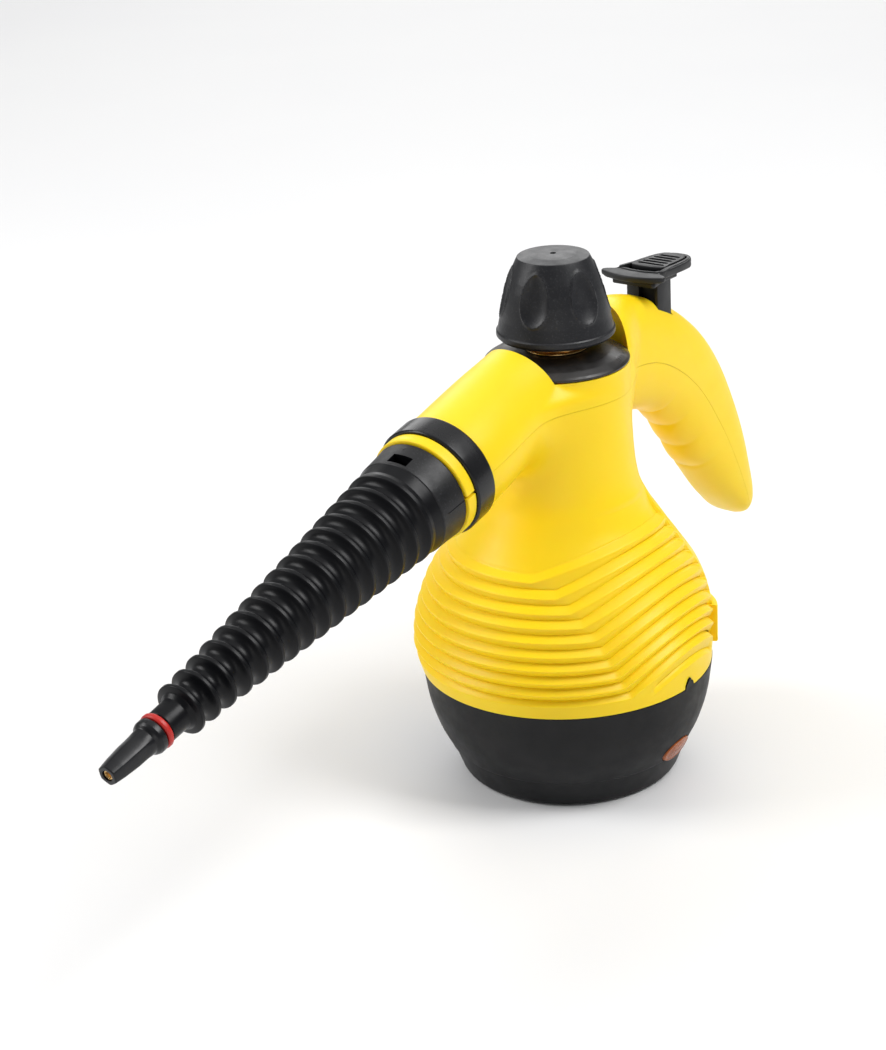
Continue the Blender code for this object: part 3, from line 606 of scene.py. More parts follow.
HY, HZ, HOUT, HIN, HTAPER = [soften(c(FINE), n) for c, n in zip(CURVES, (10, 10, 26, 26, 2))]
HTAPER = HTAPER * (1 + 0.5 * smoothstep(41, 23, HY))
_t = np.stack([np.gradient(HY), np.gradient(HZ)], -1)
_t /= np.linalg.norm(_t, axis=1)[:, None]
HNY, HNZ = -_t[:, 1], _t[:, 0]
POWER = 2 / 0.86


def grip(s):
    """Finger waves along the inside of the handle: three round swells with creases between them."""
    wave = np.abs(np.sin(np.pi * (s - 65.0) / 18.4)) ** 0.62 - 0.62
    return 1.75 * wave * smoothstep(58, 67, s) * smoothstep(126, 117, s)


def handle_rings(shrink=0.0, sides=88, waves=True):
    rings = []
    keep = range(0, len(FINE)) if shrink == 0 else range(0, len(FINE) - 8)
    ang = 2 * np.pi * np.arange(sides) / sides
    c, s = np.cos(ang), np.sin(ang)
    for i in keep:
        half = (HANDLE_HALF - shrink) * HTAPER[i]
        inner = HIN[i] + (grip(FINE[i]) * np.clip(-s, 0, 1) ** 1.5 if waves else 0.0)
        depth = np.where(s > 0, HOUT[i], inner) - shrink
        x = half * np.sign(c) * np.abs(c) ** 0.86
        d = depth * np.sign(s) * np.abs(s) ** 0.86
        rings.append(np.stack([x, HY[i] + HNY[i] * d, HZ[i] + HNZ[i] * d], -1))
    if shrink == 0:
        last, mid = rings[-1], rings[-1].mean(0)
        step = np.array([0, _t[-1, 0], _t[-1, 1]])
        for k, f in ((0.5, 0.86), (0.85, 0.6), (1.05, 0.25)):
            rings.append(mid + step * k + (last - mid) * f)
    return rings


def f_body(p):
    z = p[:, 2]
    slope = ENVELOPE(z + 0.5) - ENVELOPE(z - 0.5)
    return np.maximum((np.hypot(p[:, 0], p[:, 1]) - ENVELOPE(z)) / np.sqrt(1 + slope**2), z - 176.0)


def f_spout(p):
    q = p @ TO_NOZZLE[:3, :3].T + TO_NOZZLE[:3, 3]
    k = narrow(q[:, 2])
    return np.maximum(np.hypot((q[:, 0] - aside(q[:, 2])) / k, q[:, 1]) - SPOUT_R, -84 - q[:, 2])


def f_handle(p):
    out = np.zeros(len(p))
    for start in range(0, len(p), 20000):
        q = p[start : start + 20000]
        i = ((q[:, 1:2] - HY) ** 2 + (q[:, 2:3] - HZ) ** 2).argmin(1)
        ey, ez = q[:, 1] - HY[i], q[:, 2] - HZ[i]
        along = FINE[i] + ey * _t[i, 0] + ez * _t[i, 1]
        d = ey * HNY[i] + ez * HNZ[i]
        depth = np.where(d > 0, np.interp(along, FINE, HOUT), np.interp(along, FINE, HIN))
        half = HANDLE_HALF * np.interp(along, FINE, HTAPER)
        g = ((np.abs(q[:, 0]) / half) ** POWER + (np.abs(d) / depth) ** POWER) ** (1 / POWER)
        f = np.hypot(q[:, 0], d) * (1 - 1 / np.maximum(g, 1e-6))
        out[start : start + 20000] = np.maximum(f, -2 - along)
    return out


def casing_field(p):
    """The neck flows into the spout from below, and meets it crisply beside the filler."""
    k = 1.0 + 15.0 * smoothstep(175.5, 167, p[:, 2])
    return smin(smin(f_body(p), f_spout(p), k), f_handle(p), 1.5 + 9.0 * smoothstep(176, 160, p[:, 2]))


def make_outer():
    body = loft("casing_outer", body_rings())
    combine(body, move(loft("spout", spout_rings(SPOUT_R, -88, 0, lip=0.6)), NOZZLE), "UNION")
    combine(body, loft("handle", handle_rings()), "UNION")
    p = points_of(body)
    near = np.where((p[:, 2] > 114) & (p[:, 1] < 92))[0]
    hard = np.minimum(np.minimum(f_body(p[near]), f_spout(p[near])), f_handle(p[near]))
    near = near[np.abs(casing_field(p[near]) - hard) > 0.003]
    q = p[near]
    for _ in range(5):
        f = casing_field(q)
        g = np.stack([(casing_field(q + e) - casing_field(q - e)) / 0.1 for e in np.eye(3) * 0.05], -1)
        q = q - g * (f / np.maximum((g * g).sum(1), 0.25))[:, None]
    p[near] = q
    set_points(body, p)
    # even out the triangles round the join, and bring them back to the surface
    bm = bmesh.new()
    bm.from_mesh(body.data)
    bm.verts.ensure_lookup_table()
    chosen = set(near.tolist())
    links = [[e.other_vert(bm.verts[i]).index for e in bm.verts[i].link_edges] for i in near]
    bm.free()
    flat = np.concatenate([np.array(l) for l in links])
    owner = np.repeat(np.arange(len(near)), [len(l) for l in links])
    count = np.bincount(owner)
    for _ in range(6):
        total = np.stack([np.bincount(owner, p[flat, k]) for k in range(3)], -1)
        q = 0.4 * p[near] + 0.6 * total / count[:, None]
        for _ in range(2):
            f = casing_field(q)
            g = np.stack([(casing_field(q + e) - casing_field(q - e)) / 0.1 for e in np.eye(3) * 0.05], -1)
            q = q - g * (f / np.maximum((g * g).sum(1), 0.25))[:, None]
        p[near] = q
    set_points(body, p)
    return body


def pad():
    """Raised pad round the back, flat in its middle for the mains inlet."""
    phi = np.radians(np.r_[122.2, 122.4, 122.8, np.arange(123.6, 236.5, 0.9), 237.2, 237.6, 237.8])
    zs = np.r_[50.8, 50.95, 51.3, np.arange(52.0, 66.5, 0.55), 66.7, 67.05, 67.2]
    rings = []
    for z in zs:
        edge = 0.5 * (1 - np.sqrt(max(0.0, 1 - (1 - min(z - 50.8, 67.2 - z, 0.5) / 0.5) ** 2)))
        side = np.degrees(np.minimum(phi - phi[0], phi[-1] - phi))
        corner = 0.45 * (1 - smoothstep(-0.2, 0.6, side))
        r = PAD_R - edge - corner - 1.9 * smoothstep(3, 17, side)
        x, y = r * np.sin(phi), -r * np.cos(phi)
        boss = smoothstep(13.4, 11.0, np.abs(x))
        y = y * (1 - boss) + (66.5 - edge) * boss
        inner = [(-34 * s, 26.0) for s in (-1, 1)]
        ring = [(px, py, z) for px, py in zip(x, y)] + [(inner[1][0], inner[1][1], z), (inner[0][0], inner[0][1], z)]
        rings.append(ring)
    return loft("pad", rings)


PARTING = pchip([
    (-104, 149.4), (-92, 152.9), (-77, 156.9), (-70, 158.6), (-60, 160.4), (-48, 161.8), (-35, 163.0), (-10, 163.6),
    (10, 163.2), (35, 162.2), (50, 160.2), (62, 155.8), (70, 151.2), (78, 145.6), (86, 138.9), (94, 130.2), (102, 119.4),
    (111, 106.6), (119, 92.6), (128, 76.0), (136.2, 60.2), (150, 34.0),
])


def parting_line(shift):
    y = np.arange(-104, 150.1, 1.5)
    z = soften(PARTING(y), 12)
    ty, tz = np.gradient(y), np.gradient(z)
    n = np.hypot(ty, tz)
    return list(zip((y - tz / n * shift).tolist(), (z + ty / n * shift).tolist()))


def above(name, shift):
    line = parting_line(shift)
    return prism(name, line + [(230, 20), (230, 260), (-130, 260), (-130, line[0][1])], -90, 90, "X")


def below(name, shift):
    line = parting_line(shift)
    return prism(name, line + [(150, -20), (-130, -20), (-130, line[0][1])], -90, 90, "X")


def make_casing():
    whole = make_outer()
    combine(whole, pad(), "UNION")
    body_in = [(26.2, 172.0), (26.2, 145), (28.3, 125), (32.2, 115), (48.6, 90), (55.6, 75), (58.4, 58), (56.6, 44)]
    flange_wall = cyl("flange_wall", 32.1, SEAT_Z - WALL, 260, 96)
    spout_in = move(loft("spout_in", spout_rings(SPOUT_R - WALL, -86, 3, 96, rows=24)), NOZZLE)
    combine(spout_in, flange_wall, "DIFFERENCE", keep=True)
    handle_in = loft("handle_in", handle_rings(WALL, 56, waves=False))
    combine(handle_in, flange_wall, "DIFFERENCE")
    combine(whole, lathe("body_in", body_in, 96, ring=False), "DIFFERENCE")
    combine(whole, spout_in, "DIFFERENCE")
    combine(whole, handle_in, "DIFFERENCE")
    combine(whole, lathe("seat", [(29.4, SEAT_Z), (29.4, 240)], 160, ring=False), "DIFFERENCE")
    combine(whole, cyl("neck_hole", 10.4, 150, 200, 64), "DIFFERENCE")
    groove_ring = lathe("collar_groove", [(24.5, -16.6), (24.5, -4.7), (20.5, -4.7), (20.5, -16.6)], 128)
    combine(whole, move(groove_ring, NOZZLE), "DIFFERENCE")
    for side in (1, -1):
        combine(whole, move(block("split", min(side * 15, side * 25), max(side * 15, side * 25), 0.75, 1.95, -4.9, 1.0), NOZZLE), "DIFFERENCE")

    # the lower half carries a tongue behind the seam, and the upper half makes room for it
    tongue = loft("tongue", spout_rings(SPOUT_R - 1.0, -86, -0.8, 96, rows=24))
    move(tongue, NOZZLE)
    combine(tongue, loft("handle_mid", handle_rings(1.0, 56, waves=False)), "UNION")
    combine(tongue, lathe("neck_mid", [(27.7, 173.2), (27.7, 140)], 96, ring=False), "UNION")
    band = above("band", -1.4)
    combine(band, below("band_top", 1.1), "INTERSECT")
    combine(tongue, band, "INTERSECT")
    room = tongue.copy()
    room.data = tongue.data.copy()
    bpy.context.scene.collection.objects.link(room)

    lower = whole.copy()
    lower.data = whole.data.copy()
    lower.name = "lower_shell"
    bpy.context.scene.collection.objects.link(lower)
    tongue_wall = whole.copy()
    tongue_wall.data = whole.data.copy()
    bpy.context.scene.collection.objects.link(tongue_wall)
    combine(tongue_wall, tongue, "INTERSECT")
    combine(lower, below("lower_half", -0.075), "INTERSECT")
    combine(lower, tongue_wall, "UNION")
    upper = whole
    upper.name = "upper_shell"
    combine(upper, above("upper_half", 0.075), "INTERSECT")
    combine(upper, room, "DIFFERENCE")

    combine(lower, rod("gland_hole", 6.0, 50, 80, "Y", (0, INLET_Z), 48), "DIFFERENCE")
    tooth = prism("tooth", fillet([(-5.0, 46.0), (-4.8, 48.2), (-3.4, 51.0, 0.5), (-2.0, 51.7, 0.2), (-0.7, 49.3), (0.2, 49.6), (2.5, 46.0)], 3), 50, 70, "X")
    combine(lower, tooth, "DIFFERENCE")

    guide = block("guide", -9.6, 9.6, TRIGGER_Y0 - 1.9, TRIGGER_Y1 + 1.9, 167.4, 190)
    combine(guide, loft("handle_cut", handle_rings(0.3, 56, waves=False)), "INTERSECT")
    combine(upper, guide, "UNION")
    combine(upper, block("stem_slot", -7.9, 7.9, TRIGGER_Y0 - 0.4, TRIGGER_Y1 + 0.4, 166, 200), "DIFFERENCE")
    return lower, upper


lower, upper = make_casing()
place(lower, "casing", "body_shell", YELLOW, 38)
place(upper, "casing", "top_cover", YELLOW, 38)


# ---------------------------------------------------------------- black base
def make_base():
    curve = pchip([(13.2, 50.4), (22, 54.6), (33, 57.9), (46.2, 59.8)])
    outer = [(43.6, 0, 0.5), (44.9, 0.6, 0.8), (45.7, 2.0, 1.2), (49.3, 12.0, 0.5), (50.3, 12.9, 0.5)]
    outer += [(float(curve(z)), float(z)) for z in np.linspace(14.5, 45.8, 26)] + [(59.8, 46.5, 0.35)]
    inner = [(57.2, 46.5, 0.3), (54.4, 30.0), (51.9, 22.0), (47.7, 13.0), (43.0, 3.0)]
    cup = lathe("base", fillet(outer, 3, closed=False) + fillet(inner, 3, closed=False)[::1], 200, ring=False)
    for i, (x, y) in enumerate([(27, 27), (-27, 27), (-27, -27), (27, -27)]):
        combine(cup, cyl(f"boss{i}", 5.0, 1.5, 21.0, 32, x, y), "UNION")
        combine(cup, cyl(f"way{i}", 1.95, -1, 30, 24, x, y), "DIFFERENCE")
        combine(cup, cyl(f"head{i}", 3.7, -1, 12.0, 32, x, y), "DIFFERENCE")
    hole = [(8.9 * math.cos(t), 16.3 + 5.2 * math.sin(t)) for t in np.linspace(0, 2 * math.pi, 49)[:-1]]
    combine(cup, prism("lens_hole", hole, 38, 60, "X"), "DIFFERENCE")
    # shallow foot recess under the base
    combine(cup, lathe("foot", [(38.0, -1.0), (38.0, 0.55), (41.0, 0.55), (41.0, -1.0)], 128), "DIFFERENCE")
    shape = fillet([(-4.6, 43.0), (-4.5, 48.0), (-3.2, 50.7, 0.4), (-2.1, 51.3, 0.15), (-0.9, 49.0), (0.1, 49.2), (2.0, 46.0), (2.0, 43.0)], 3)
    tongue = prism("base_tongue", shape, 57.5, 59.75, "X")
    p = points_of(tongue)
    p[:, 0] += 0.2 * (p[:, 2] - 46.5)
    set_points(tongue, p)
    combine(cup, tongue, "UNION")
    return cup


place(make_base(), "casing", "base_cup", BLACK_BASE, 38)


def make_lens():
    """Oval lens with a raised rim, leaning back with the wall."""
    rows = []
    steps = 72
    t = 2 * np.pi * np.arange(steps) / steps
    for scale, out in ((1.0, -6.0), (1.0, -0.35), (0.985, -0.1), (0.955, 0.0), (0.9, 0.0), (0.87, -0.14), (0.84, -0.2), (0.7, 0.02), (0.5, 0.2), (0.3, 0.3), (0.1, 0.34)):
        y = 8.5 * scale * np.cos(t)
        z = 4.8 * scale * np.sin(t)
        x = 52.75 + 0.44 * z - y * y / 110 + out
        rows.append(np.stack([x, y, 16.3 + z], -1))
    return loft("lens", rows)


place(make_lens(), "casing", "indicator_lens", AMBER, 50)

# ---------------------------------------------------------------- collar, flange, nut
collar = lathe("collar", fillet([(22.2, -16.0, 0.5), (22.65, -15.2, 0.5), (22.65, -5.8, 0.5), (22.2, -5.0, 0.35), (20.8, -5.0), (20.8, -16.0)], 4), 160)
place(move(collar, NOZZLE), "casing", "spout_collar", BLACK_BAND, 40)

flange = lathe(
    "flange",
    fillet([(11.0, 180.3), (15.5, 180.3, 3), (22.4, 179.3, 6), (25.6, 177.9, 5), (28.0, 176.4, 1.5), (28.9, 175.6, 0.5), (28.6, 174.7, 0.4), (11.0, 174.7)], 6),
    160,
)
place(flange, "casing", "filler_flange", BLACK_FLANGE, 40)


def six(r, z, a):
    turn = (np.degrees(a) + 30) % 60 - 30
    hexed = r * math.cos(math.pi / 6) / np.cos(np.radians(turn))
    return np.where((r < 11) | (z > 182.5) | (z < 181.3), r, hexed), z


nut = lathe("nut", fillet([(9.5, 180.6), (9.5, 183.9), (12.2, 183.9, 0.4), (12.6, 183.3, 0.3), (12.6, 182.7, 0.2), (12.0, 182.4), (12.0, 181.4), (12.4, 181.2, 0.15), (12.8, 180.95, 0.15), (12.8, 180.6)], 3), 120, shape=six)
place(nut, "casing", "neck_nut", BRASS, 30)

# ---------------------------------------------------------------- safety cap
SCALLOP = -79.8


def scallops(r, z, a):
    """Six oval thumb dents, each with a fine raised rim."""
    dip = np.zeros_like(r)
    for k in range(6):
        d = (np.degrees(a) - SCALLOP - 60 * k + 180) % 360 - 180
        u, v = d / 16.4, (z - 204.2) / 9.5
        q = np.sqrt(u * u + v * v)
        inside = np.clip(1 - q, 0, 1)
        dip += 2.0 * (1 - (1 - inside) ** 2.6) * (q < 1)
        dip -= 0.42 * np.exp(-(((q - 1.04) / 0.05) ** 2))
    return np.where((r > 14.6) & (z > 189.2) & (z < 216.3), r - dip, r), z


cap_out = fillet(
    [(20.6, 185.4, 0.4), (22.3, 185.4, 0.6), (23.45, 186.6, 0.8), (23.35, 188.3, 0.35), (22.85, 188.75, 0.2), (22.7, 189.3, 0.3),
     (21.75, 193.5, 6), (21.1, 197.5, 8), (20.3, 201.5, 10), (19.25, 205.5, 10), (17.8, 209.5, 10), (15.1, 215.4, 3), (14.15, 217.35, 0.4),
     (9.0, 218.0, 4), (1.2, 218.2, 0.3)], 5, closed=False)
cap_in = [(1.2, 214.6), (11.4, 214.6), (16.6, 205.5), (18.6, 198.0)]
cap = lathe("cap", finer(cap_out, 0.55) + finer(cap_in, 3)[:], 288, shape=scallops, phase=math.radians(0.6))
place(cap, "cap", "cap_shell", BLACK_CAP, 46)

carrier = lathe("carrier", fillet([(3.2, 211.0), (3.2, 214.2), (10.6, 214.2, 0.5), (12.6, 211.6, 0.8), (14.4, 204.0, 2), (14.4, 190.0, 0.3), (13.2, 190.0), (13.2, 204.0), (11.4, 211.0)], 3), 72)
place(carrier, "carrier", "cap_carrier", BLACK, 35)


def thread(r, z, a):
    """A coarse thread on the plug's shank."""
    turn = ((z - 163.5) / 2.2 + a / (2 * np.pi)) % 1.0
    ridge = np.clip(1 - np.abs(turn - 0.5) * 3.2, 0, 1) ** 0.8
    on = (r > 6.1) & (r < 6.3) & (z > 163.6) & (z < 183.5)
    return np.where(on, r - 0.75 + 0.75 * ridge, r), z


plug = lathe("plug", finer(fillet([(1.6, 162.0), (1.6, 193.0), (11.6, 193.0, 0.3), (12.6, 192.2, 0.4), (12.6, 188.2, 0.4), (11.6, 187.4, 0.2), (6.2, 187.4), (6.2, 163.0), (5.4, 162.0)], 3), 0.3, closed=True), 72, shape=thread)
place(plug, "plug", "cap_plug", BRASS, 35)


def coil(name, radius, wire, z0, z1, turns, steps=40, sides=12):
    """A round-wire spring about Z, its ends cut square."""
    rings = []
    for i in range(int(turns * steps) + 1):
        a = 2 * math.pi * i / steps
        rise = (z1 - z0) / (turns * 2 * math.pi)
        along = Vector((-radius * math.sin(a), radius * math.cos(a), rise)).normalized()
        out = Vector((math.cos(a), math.sin(a), 0))
        up = out.cross(along)
        centre = out * radius + Vector((0, 0, z0 + (z1 - z0) * i / (turns * steps)))
        rings.append([tuple(centre + wire * (math.cos(t) * out + math.sin(t) * up)) for t in np.linspace(0, 2 * math.pi, sides, endpoint=False)])
    return loft(name, rings)


spring = coil("spring", 7.6, 0.6, 193.6, 210.4, 5)
place(spring, "plug", "cap_spring", STEEL, 40)
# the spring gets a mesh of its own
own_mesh(spring)
gasket = lathe("gasket", fillet([(6.6, 184.6, 0.4), (6.6, 187.0, 0.3), (9.6, 187.0, 0.3), (9.6, 184.6, 0.6)], 4), 72)
place(gasket, "plug", "cap_gasket", RUBBER, 40)

# ---------------------------------------------------------------- outlet and nozzle
spigot = lathe(
    "spigot",
    fillet([(1.6, -22.0), (1.6, 15.0), (13.6, 15.0, 0.3), (15.0, 13.8, 0.3), (15.0, 11.6, 0.2), (12.6, 11.6), (12.6, 8.8), (15.0, 8.8, 0.2), (15.0, -7.6, 0.6),
            (18.7, -7.6, 0.3), (18.7, -12.4, 0.3), (8.0, -12.4, 0.8), (4.6, -15.0, 0.6), (4.6, -22.0, 0.3)], 3), 96)
place(move(spigot, NOZZLE), "casing", "outlet_spigot", BLACK, 35)
seal = lathe("seal", fillet([(13.0, 9.1), (15.4, 9.1, 0.6), (16.0, 10.2, 0.8), (15.4, 11.3, 0.6), (13.0, 11.3)], 4), 96)
place(move(seal, NOZZLE), "casing", "outlet_seal", RUBBER, 40)
washer = lathe("washer", fillet([(13.0, 15.4), (13.0, 17.8), (16.0, 17.8), (16.0, 15.4)], 3, r=0.25), 96)
place(move(washer, NOZZLE), "nozzle_seat", "nozzle_gasket", RUBBER, 40)

RINGS, PITCH, FIRST = 16, 7.95, 20.5
CREST_R = pchip([(20.5, 19.15), (44.35, 17.2), (60.3, 15.8), (76.2, 14.55), (92.0, 13.25), (108.0, 11.95), (124.0, 10.65), (139.9, 9.75)])


def make_nozzle():
    prof = [(16.5, 0.3), (20.15, 0.3, 0.35), (20.55, 0.9, 0.3), (20.15, 6.0), (19.75, 12.9, 0.25), (19.5, 13.3, 0.15), (18.75, 17.9, 1.2)]
    for k in range(RINGS):
        s = FIRST + PITCH * k
        r = float(CREST_R(s))
        core = r - (2.75 if k < 12 else 2.75 + 0.3 * (k - 11))
        half = 0.78
        prof += [(r, s - half, 0.42), (r - 0.03, s + half, 0.42)]
        if k < RINGS - 1:
            nxt = float(CREST_R(s + PITCH))
            for u in (0.05, 0.11, 0.18, 0.27, 0.38, 0.5, 0.62, 0.73, 0.82, 0.89, 0.95):
                low = (r - core) * (1 - abs(2 * u - 1) ** 3.0)
                prof.append((r + (nxt - r) * u - low, s + half + (PITCH - 2 * half) * u))
    end = FIRST + PITCH * (RINGS - 1)
    prof += [(7.4, end + 1.3, 0.9), (6.2, end + 3.0, 1.2), (6.1, 150.5, 0.25), (5.8, 150.8), (3.3, 150.8), (3.3, 158.8)]
    prof += [(1.8, 158.8), (2.0, 146.0), (6.2, 110.0), (11.6, 40.0), (13.0, 19.0), (16.5, 18.2)]
    nozzle = lathe("nozzle", fillet(prof, 5), 144)
    window = move(block("window", -4.2, 4.2, 14.0, 24.0, 7.0, 11.8), Matrix.Rotation(math.radians(-4.2), 4, "Z"))
    combine(nozzle, window, "DIFFERENCE")
    # a fine slit on the +X side, in line with the split of the yellow ring
    combine(nozzle, move(block("slit", 19.1, 22, -0.16, 0.16, 0.0, 10.4), Matrix.Rotation(math.radians(2.2), 4, "Z")), "DIFFERENCE")
    # small arrow that shows which way the nozzle goes on
    arrow = move(prism("arrow", [(-1.1, 2.4), (1.1, 2.4), (0.0, 4.2)], -0.4, 0.3), Matrix.Identity(4))
    tip = Matrix.Rotation(math.radians(2.5), 4, "Z") @ Matrix.Translation((0, 20.1, 0)) @ Matrix.Rotation(math.radians(-90), 4, "X") @ Matrix.Scale(-1, 4, (0, 1, 0))
    move(arrow, tip)
    bm = bmesh.new()
    bm.from_mesh(arrow.data)
    bmesh.ops.recalc_face_normals(bm, faces=bm.faces)
    bm.to_mesh(arrow.data)
    bm.free()
    combine(nozzle, arrow, "UNION")
    return move(nozzle, NOZZLE)


nozzle = make_nozzle()
place(nozzle, "nozzle", "nozzle_cone", BLACK_SATIN, 40)


def grained_socket():
    """The plain socket is grained, and the rings ahead of it are smooth."""
    nozzle.data.materials.append(BLACK_SOCKET)
    inv = NOZZLE.inverted()
    for poly in nozzle.data.polygons:
        q = inv @ (poly.center / MM)
        if q.z < 13.2 and math.hypot(q.x, q.y) > 18.5:
            poly.material_index = 1


grained_socket()

# ---------------------------------------------------------------- tip
ring = lathe("red_ring", fillet([(3.7, 151.2), (3.7, 153.6), (6.3, 153.6, 0.4), (6.75, 153.0, 0.5), (6.75, 151.8, 0.5), (6.3, 151.2, 0.4)], 4), 96)
place(move(ring, NOZZLE), "tip", "tip_ring", RED, 45)


def hexed(r, s, a):
    """Round at its collar, six-sided with soft corners towards the mouth."""
    m = np.radians((np.degrees(a) + 30) % 60 - 30)
    flat = math.cos(math.pi / 6) / np.cos(m) * 1.07
    soft = -np.log(np.exp(-14 * flat) + np.exp(-14 * 1.015)) / 14
    mix = smoothstep(158.2, 163.5, s) * (r > 3.5)
    return r * (1 + (soft - 1) * mix), s


tip = lathe(
    "tip",
    finer(fillet([(2.1, 177.5, 0.1), (3.85, 177.5, 0.35), (3.95, 176.8, 0.3), (4.5, 173.0, 4), (5.0, 167.0, 6), (5.1, 161.0, 3), (5.15, 158.4, 0.4), (6.05, 157.5, 0.4), (6.5, 156.4, 0.4), (6.5, 154.4, 0.35), (5.9, 153.9),
            (3.6, 153.9), (3.6, 161.0), (1.2, 162.0), (1.2, 169.0), (2.1, 170.0)], 4), 1.0, closed=True),
    144,
    shape=hexed,
)
place(move(tip, NOZZLE), "tip", "jet_tip", BLACK_TIP, 36)
jet = lathe("jet", fillet([(0.7, 170.4), (0.7, 175.6), (1.35, 177.0), (1.8, 177.0, 0.1), (1.8, 170.4)], 3), 64)
place(move(jet, NOZZLE), "tip", "brass_jet", BRASS, 40)

# ---------------------------------------------------------------- trigger
PLATE = [
    (0, 52.1), (5.6, 52.6), (10.0, 53.8), (13.4, 55.2), (14.8, 56.4), (14.8, 58.0), (13.0, 59.6), (11.0, 60.6), (10.4, 62.4), (10.2, 72.0),
    (9.6, 82.0), (8.2, 89.0), (5.4, 93.6), (2.0, 95.4),
]


def smooth_outline(points, per=6):
    pts = [Vector((*p, 0)) for p in points]
    n = len(pts)
    out = []
    for i in range(n):
        a, b, c, d = pts[i - 1], pts[i], pts[(i + 1) % n], pts[(i + 2) % n]
        for k in range(per):
            u = k / per
            q = 0.5 * (2 * b + (c - a) * u + (2 * a - 5 * b + 4 * c - d) * u * u + (3 * b - a - 3 * c + d) * u**3)
            out.append((q.x, q.y))
    return out


def mirrored(points):
    return points + [(-x, y) for x, y in points[::-1] if x > 0.01]


def droop(obj, y0=62.0, rate=0.055):
    p = points_of(obj)
    p[:, 2] -= rate * np.maximum(p[:, 1] - y0, 0) * (p[:, 2] > 188.5)
    set_points(obj, p)
    return obj


def make_trigger():
    plate = prism("plate", smooth_outline(mirrored(PLATE), 4), 190.8, 194.6)
    p = points_of(plate)
    rise = np.maximum(1.3 * smoothstep(60, 53, p[:, 1]), 1.7 * smoothstep(7.5, 14.5, np.abs(p[:, 0])))
    p[:, 2] += rise * (p[:, 2] < 192)
    set_points(plate, p)
    bevel(plate, 0.7, 4, 40)
    tray = prism("tray", smooth_outline([(-7.4, 61.4), (7.4, 61.4), (7.5, 70.0), (7.4, 80.0), (6.4, 88.4), (3.8, 91.5), (-3.8, 91.5), (-6.4, 88.4), (-7.4, 80.0), (-7.5, 70.0)], 3), 192.9, 198.0)
    combine(plate, tray, "DIFFERENCE")
    # raised rim round the tray, and the step where the wing meets it
    rim = prism("rim", smooth_outline([(-9.3, 61.0), (9.3, 61.0), (9.3, 72.0), (8.8, 81.5), (7.5, 88.8), (4.6, 92.7), (-4.6, 92.7), (-7.5, 88.8), (-8.8, 81.5), (-9.3, 72.0)], 3), 193.6, 194.95)
    combine(rim, prism("rim_in", smooth_outline([(-7.6, 61.9), (7.6, 61.9), (7.7, 70.0), (7.6, 80.0), (6.6, 88.2), (3.9, 91.3), (-3.9, 91.3), (-6.6, 88.2), (-7.6, 80.0), (-7.7, 70.0)], 3), 190.0, 199.0), "DIFFERENCE")
    bevel(rim, 0.35, 2, 40)
    combine(plate, rim, "UNION")
    # open well ahead of the slider, and the slot beside it
    combine(plate, prism("well", fillet([(-5.4, 62.4, 0.8), (6.9, 62.4, 0.8), (6.9, 66.6, 0.5), (-5.4, 66.6, 0.5)], 3), 191.9, 198), "DIFFERENCE")
    combine(plate, prism("slot", fillet([(-10.0, 60.2, 0.3), (-6.9, 61.4, 0.3), (-6.6, 73.0, 0.3), (-7.6, 73.0, 0.3)], 2), 191.7, 198), "DIFFERENCE")
    skirt = prism("skirt", fillet([(-10.5, 56.4, 1.5), (10.5, 56.4, 1.5), (8.4, 66.0, 2), (8.2, 79.0, 1.5), (-8.2, 79.0, 1.5), (-8.4, 66.0, 2)], 4), 189.2, 191.4)
    combine(plate, bevel(skirt, 0.5, 2, 40), "UNION")
    droop(plate)
    stem = bevel(block("stem", -7.5, 7.5, TRIGGER_Y0, TRIGGER_Y1, 165.0, 191.0), 0.45, 2, 40)
    combine(stem, block("recess", -1.6, 6.1, TRIGGER_Y0 - 1, TRIGGER_Y0 + 2.4, 168.0, 188.6), "DIFFERENCE")
    teeth = [(TRIGGER_Y1 + 1.0, 168.0)]
    for k in range(21):
        z = 168.0 + 1.0 * k
        teeth += [(TRIGGER_Y1 + 0.05, z + 0.1), (TRIGGER_Y1 - 0.32, z + 0.5), (TRIGGER_Y1 + 0.05, z + 0.9)]
    teeth += [(TRIGGER_Y1 + 1.0, 189.0)]
    combine(stem, prism("teeth", teeth, -9, 9, "X"), "DIFFERENCE")
    combine(plate, stem, "UNION")
    combine(plate, bevel(block("stop", -7.4, 7.4, 62.2, 76.0, 164.6, 167.0), 0.3, 2, 40), "UNION")
    combine(plate, bevel(block("nose", -3.0, 3.0, 67.4, 70.6, 163.4, 167.0), 0.3, 2, 40), "UNION")
    return plate


place(make_trigger(), "trigger", "trigger", BLACK, 38)


def make_lock():
    outline = smooth_outline([(-6.9, 67.2), (6.9, 67.2), (6.95, 74.0), (6.9, 80.0), (5.9, 88.0), (3.4, 90.8), (-3.4, 90.8), (-5.9, 88.0), (-6.9, 80.0), (-6.95, 74.0)], 3)
    lock = bevel(prism("lock", outline, 193.3, 195.3), 0.35, 2, 40)
    for k in range(5):
        y = 71.0 + 3.75 * k
        w = 6.2 - 0.32 * k
        slot = prism("lock_slot", fillet([(-w, y - 1.15, 1.05), (w, y - 1.15, 1.05), (w, y + 1.15, 1.05), (-w, y + 1.15, 1.05)], 4), 193.55, 197)
        combine(lock, slot, "DIFFERENCE")
    return droop(lock)


place(make_lock(), "lock", "trigger_lock", BLACK, 38)

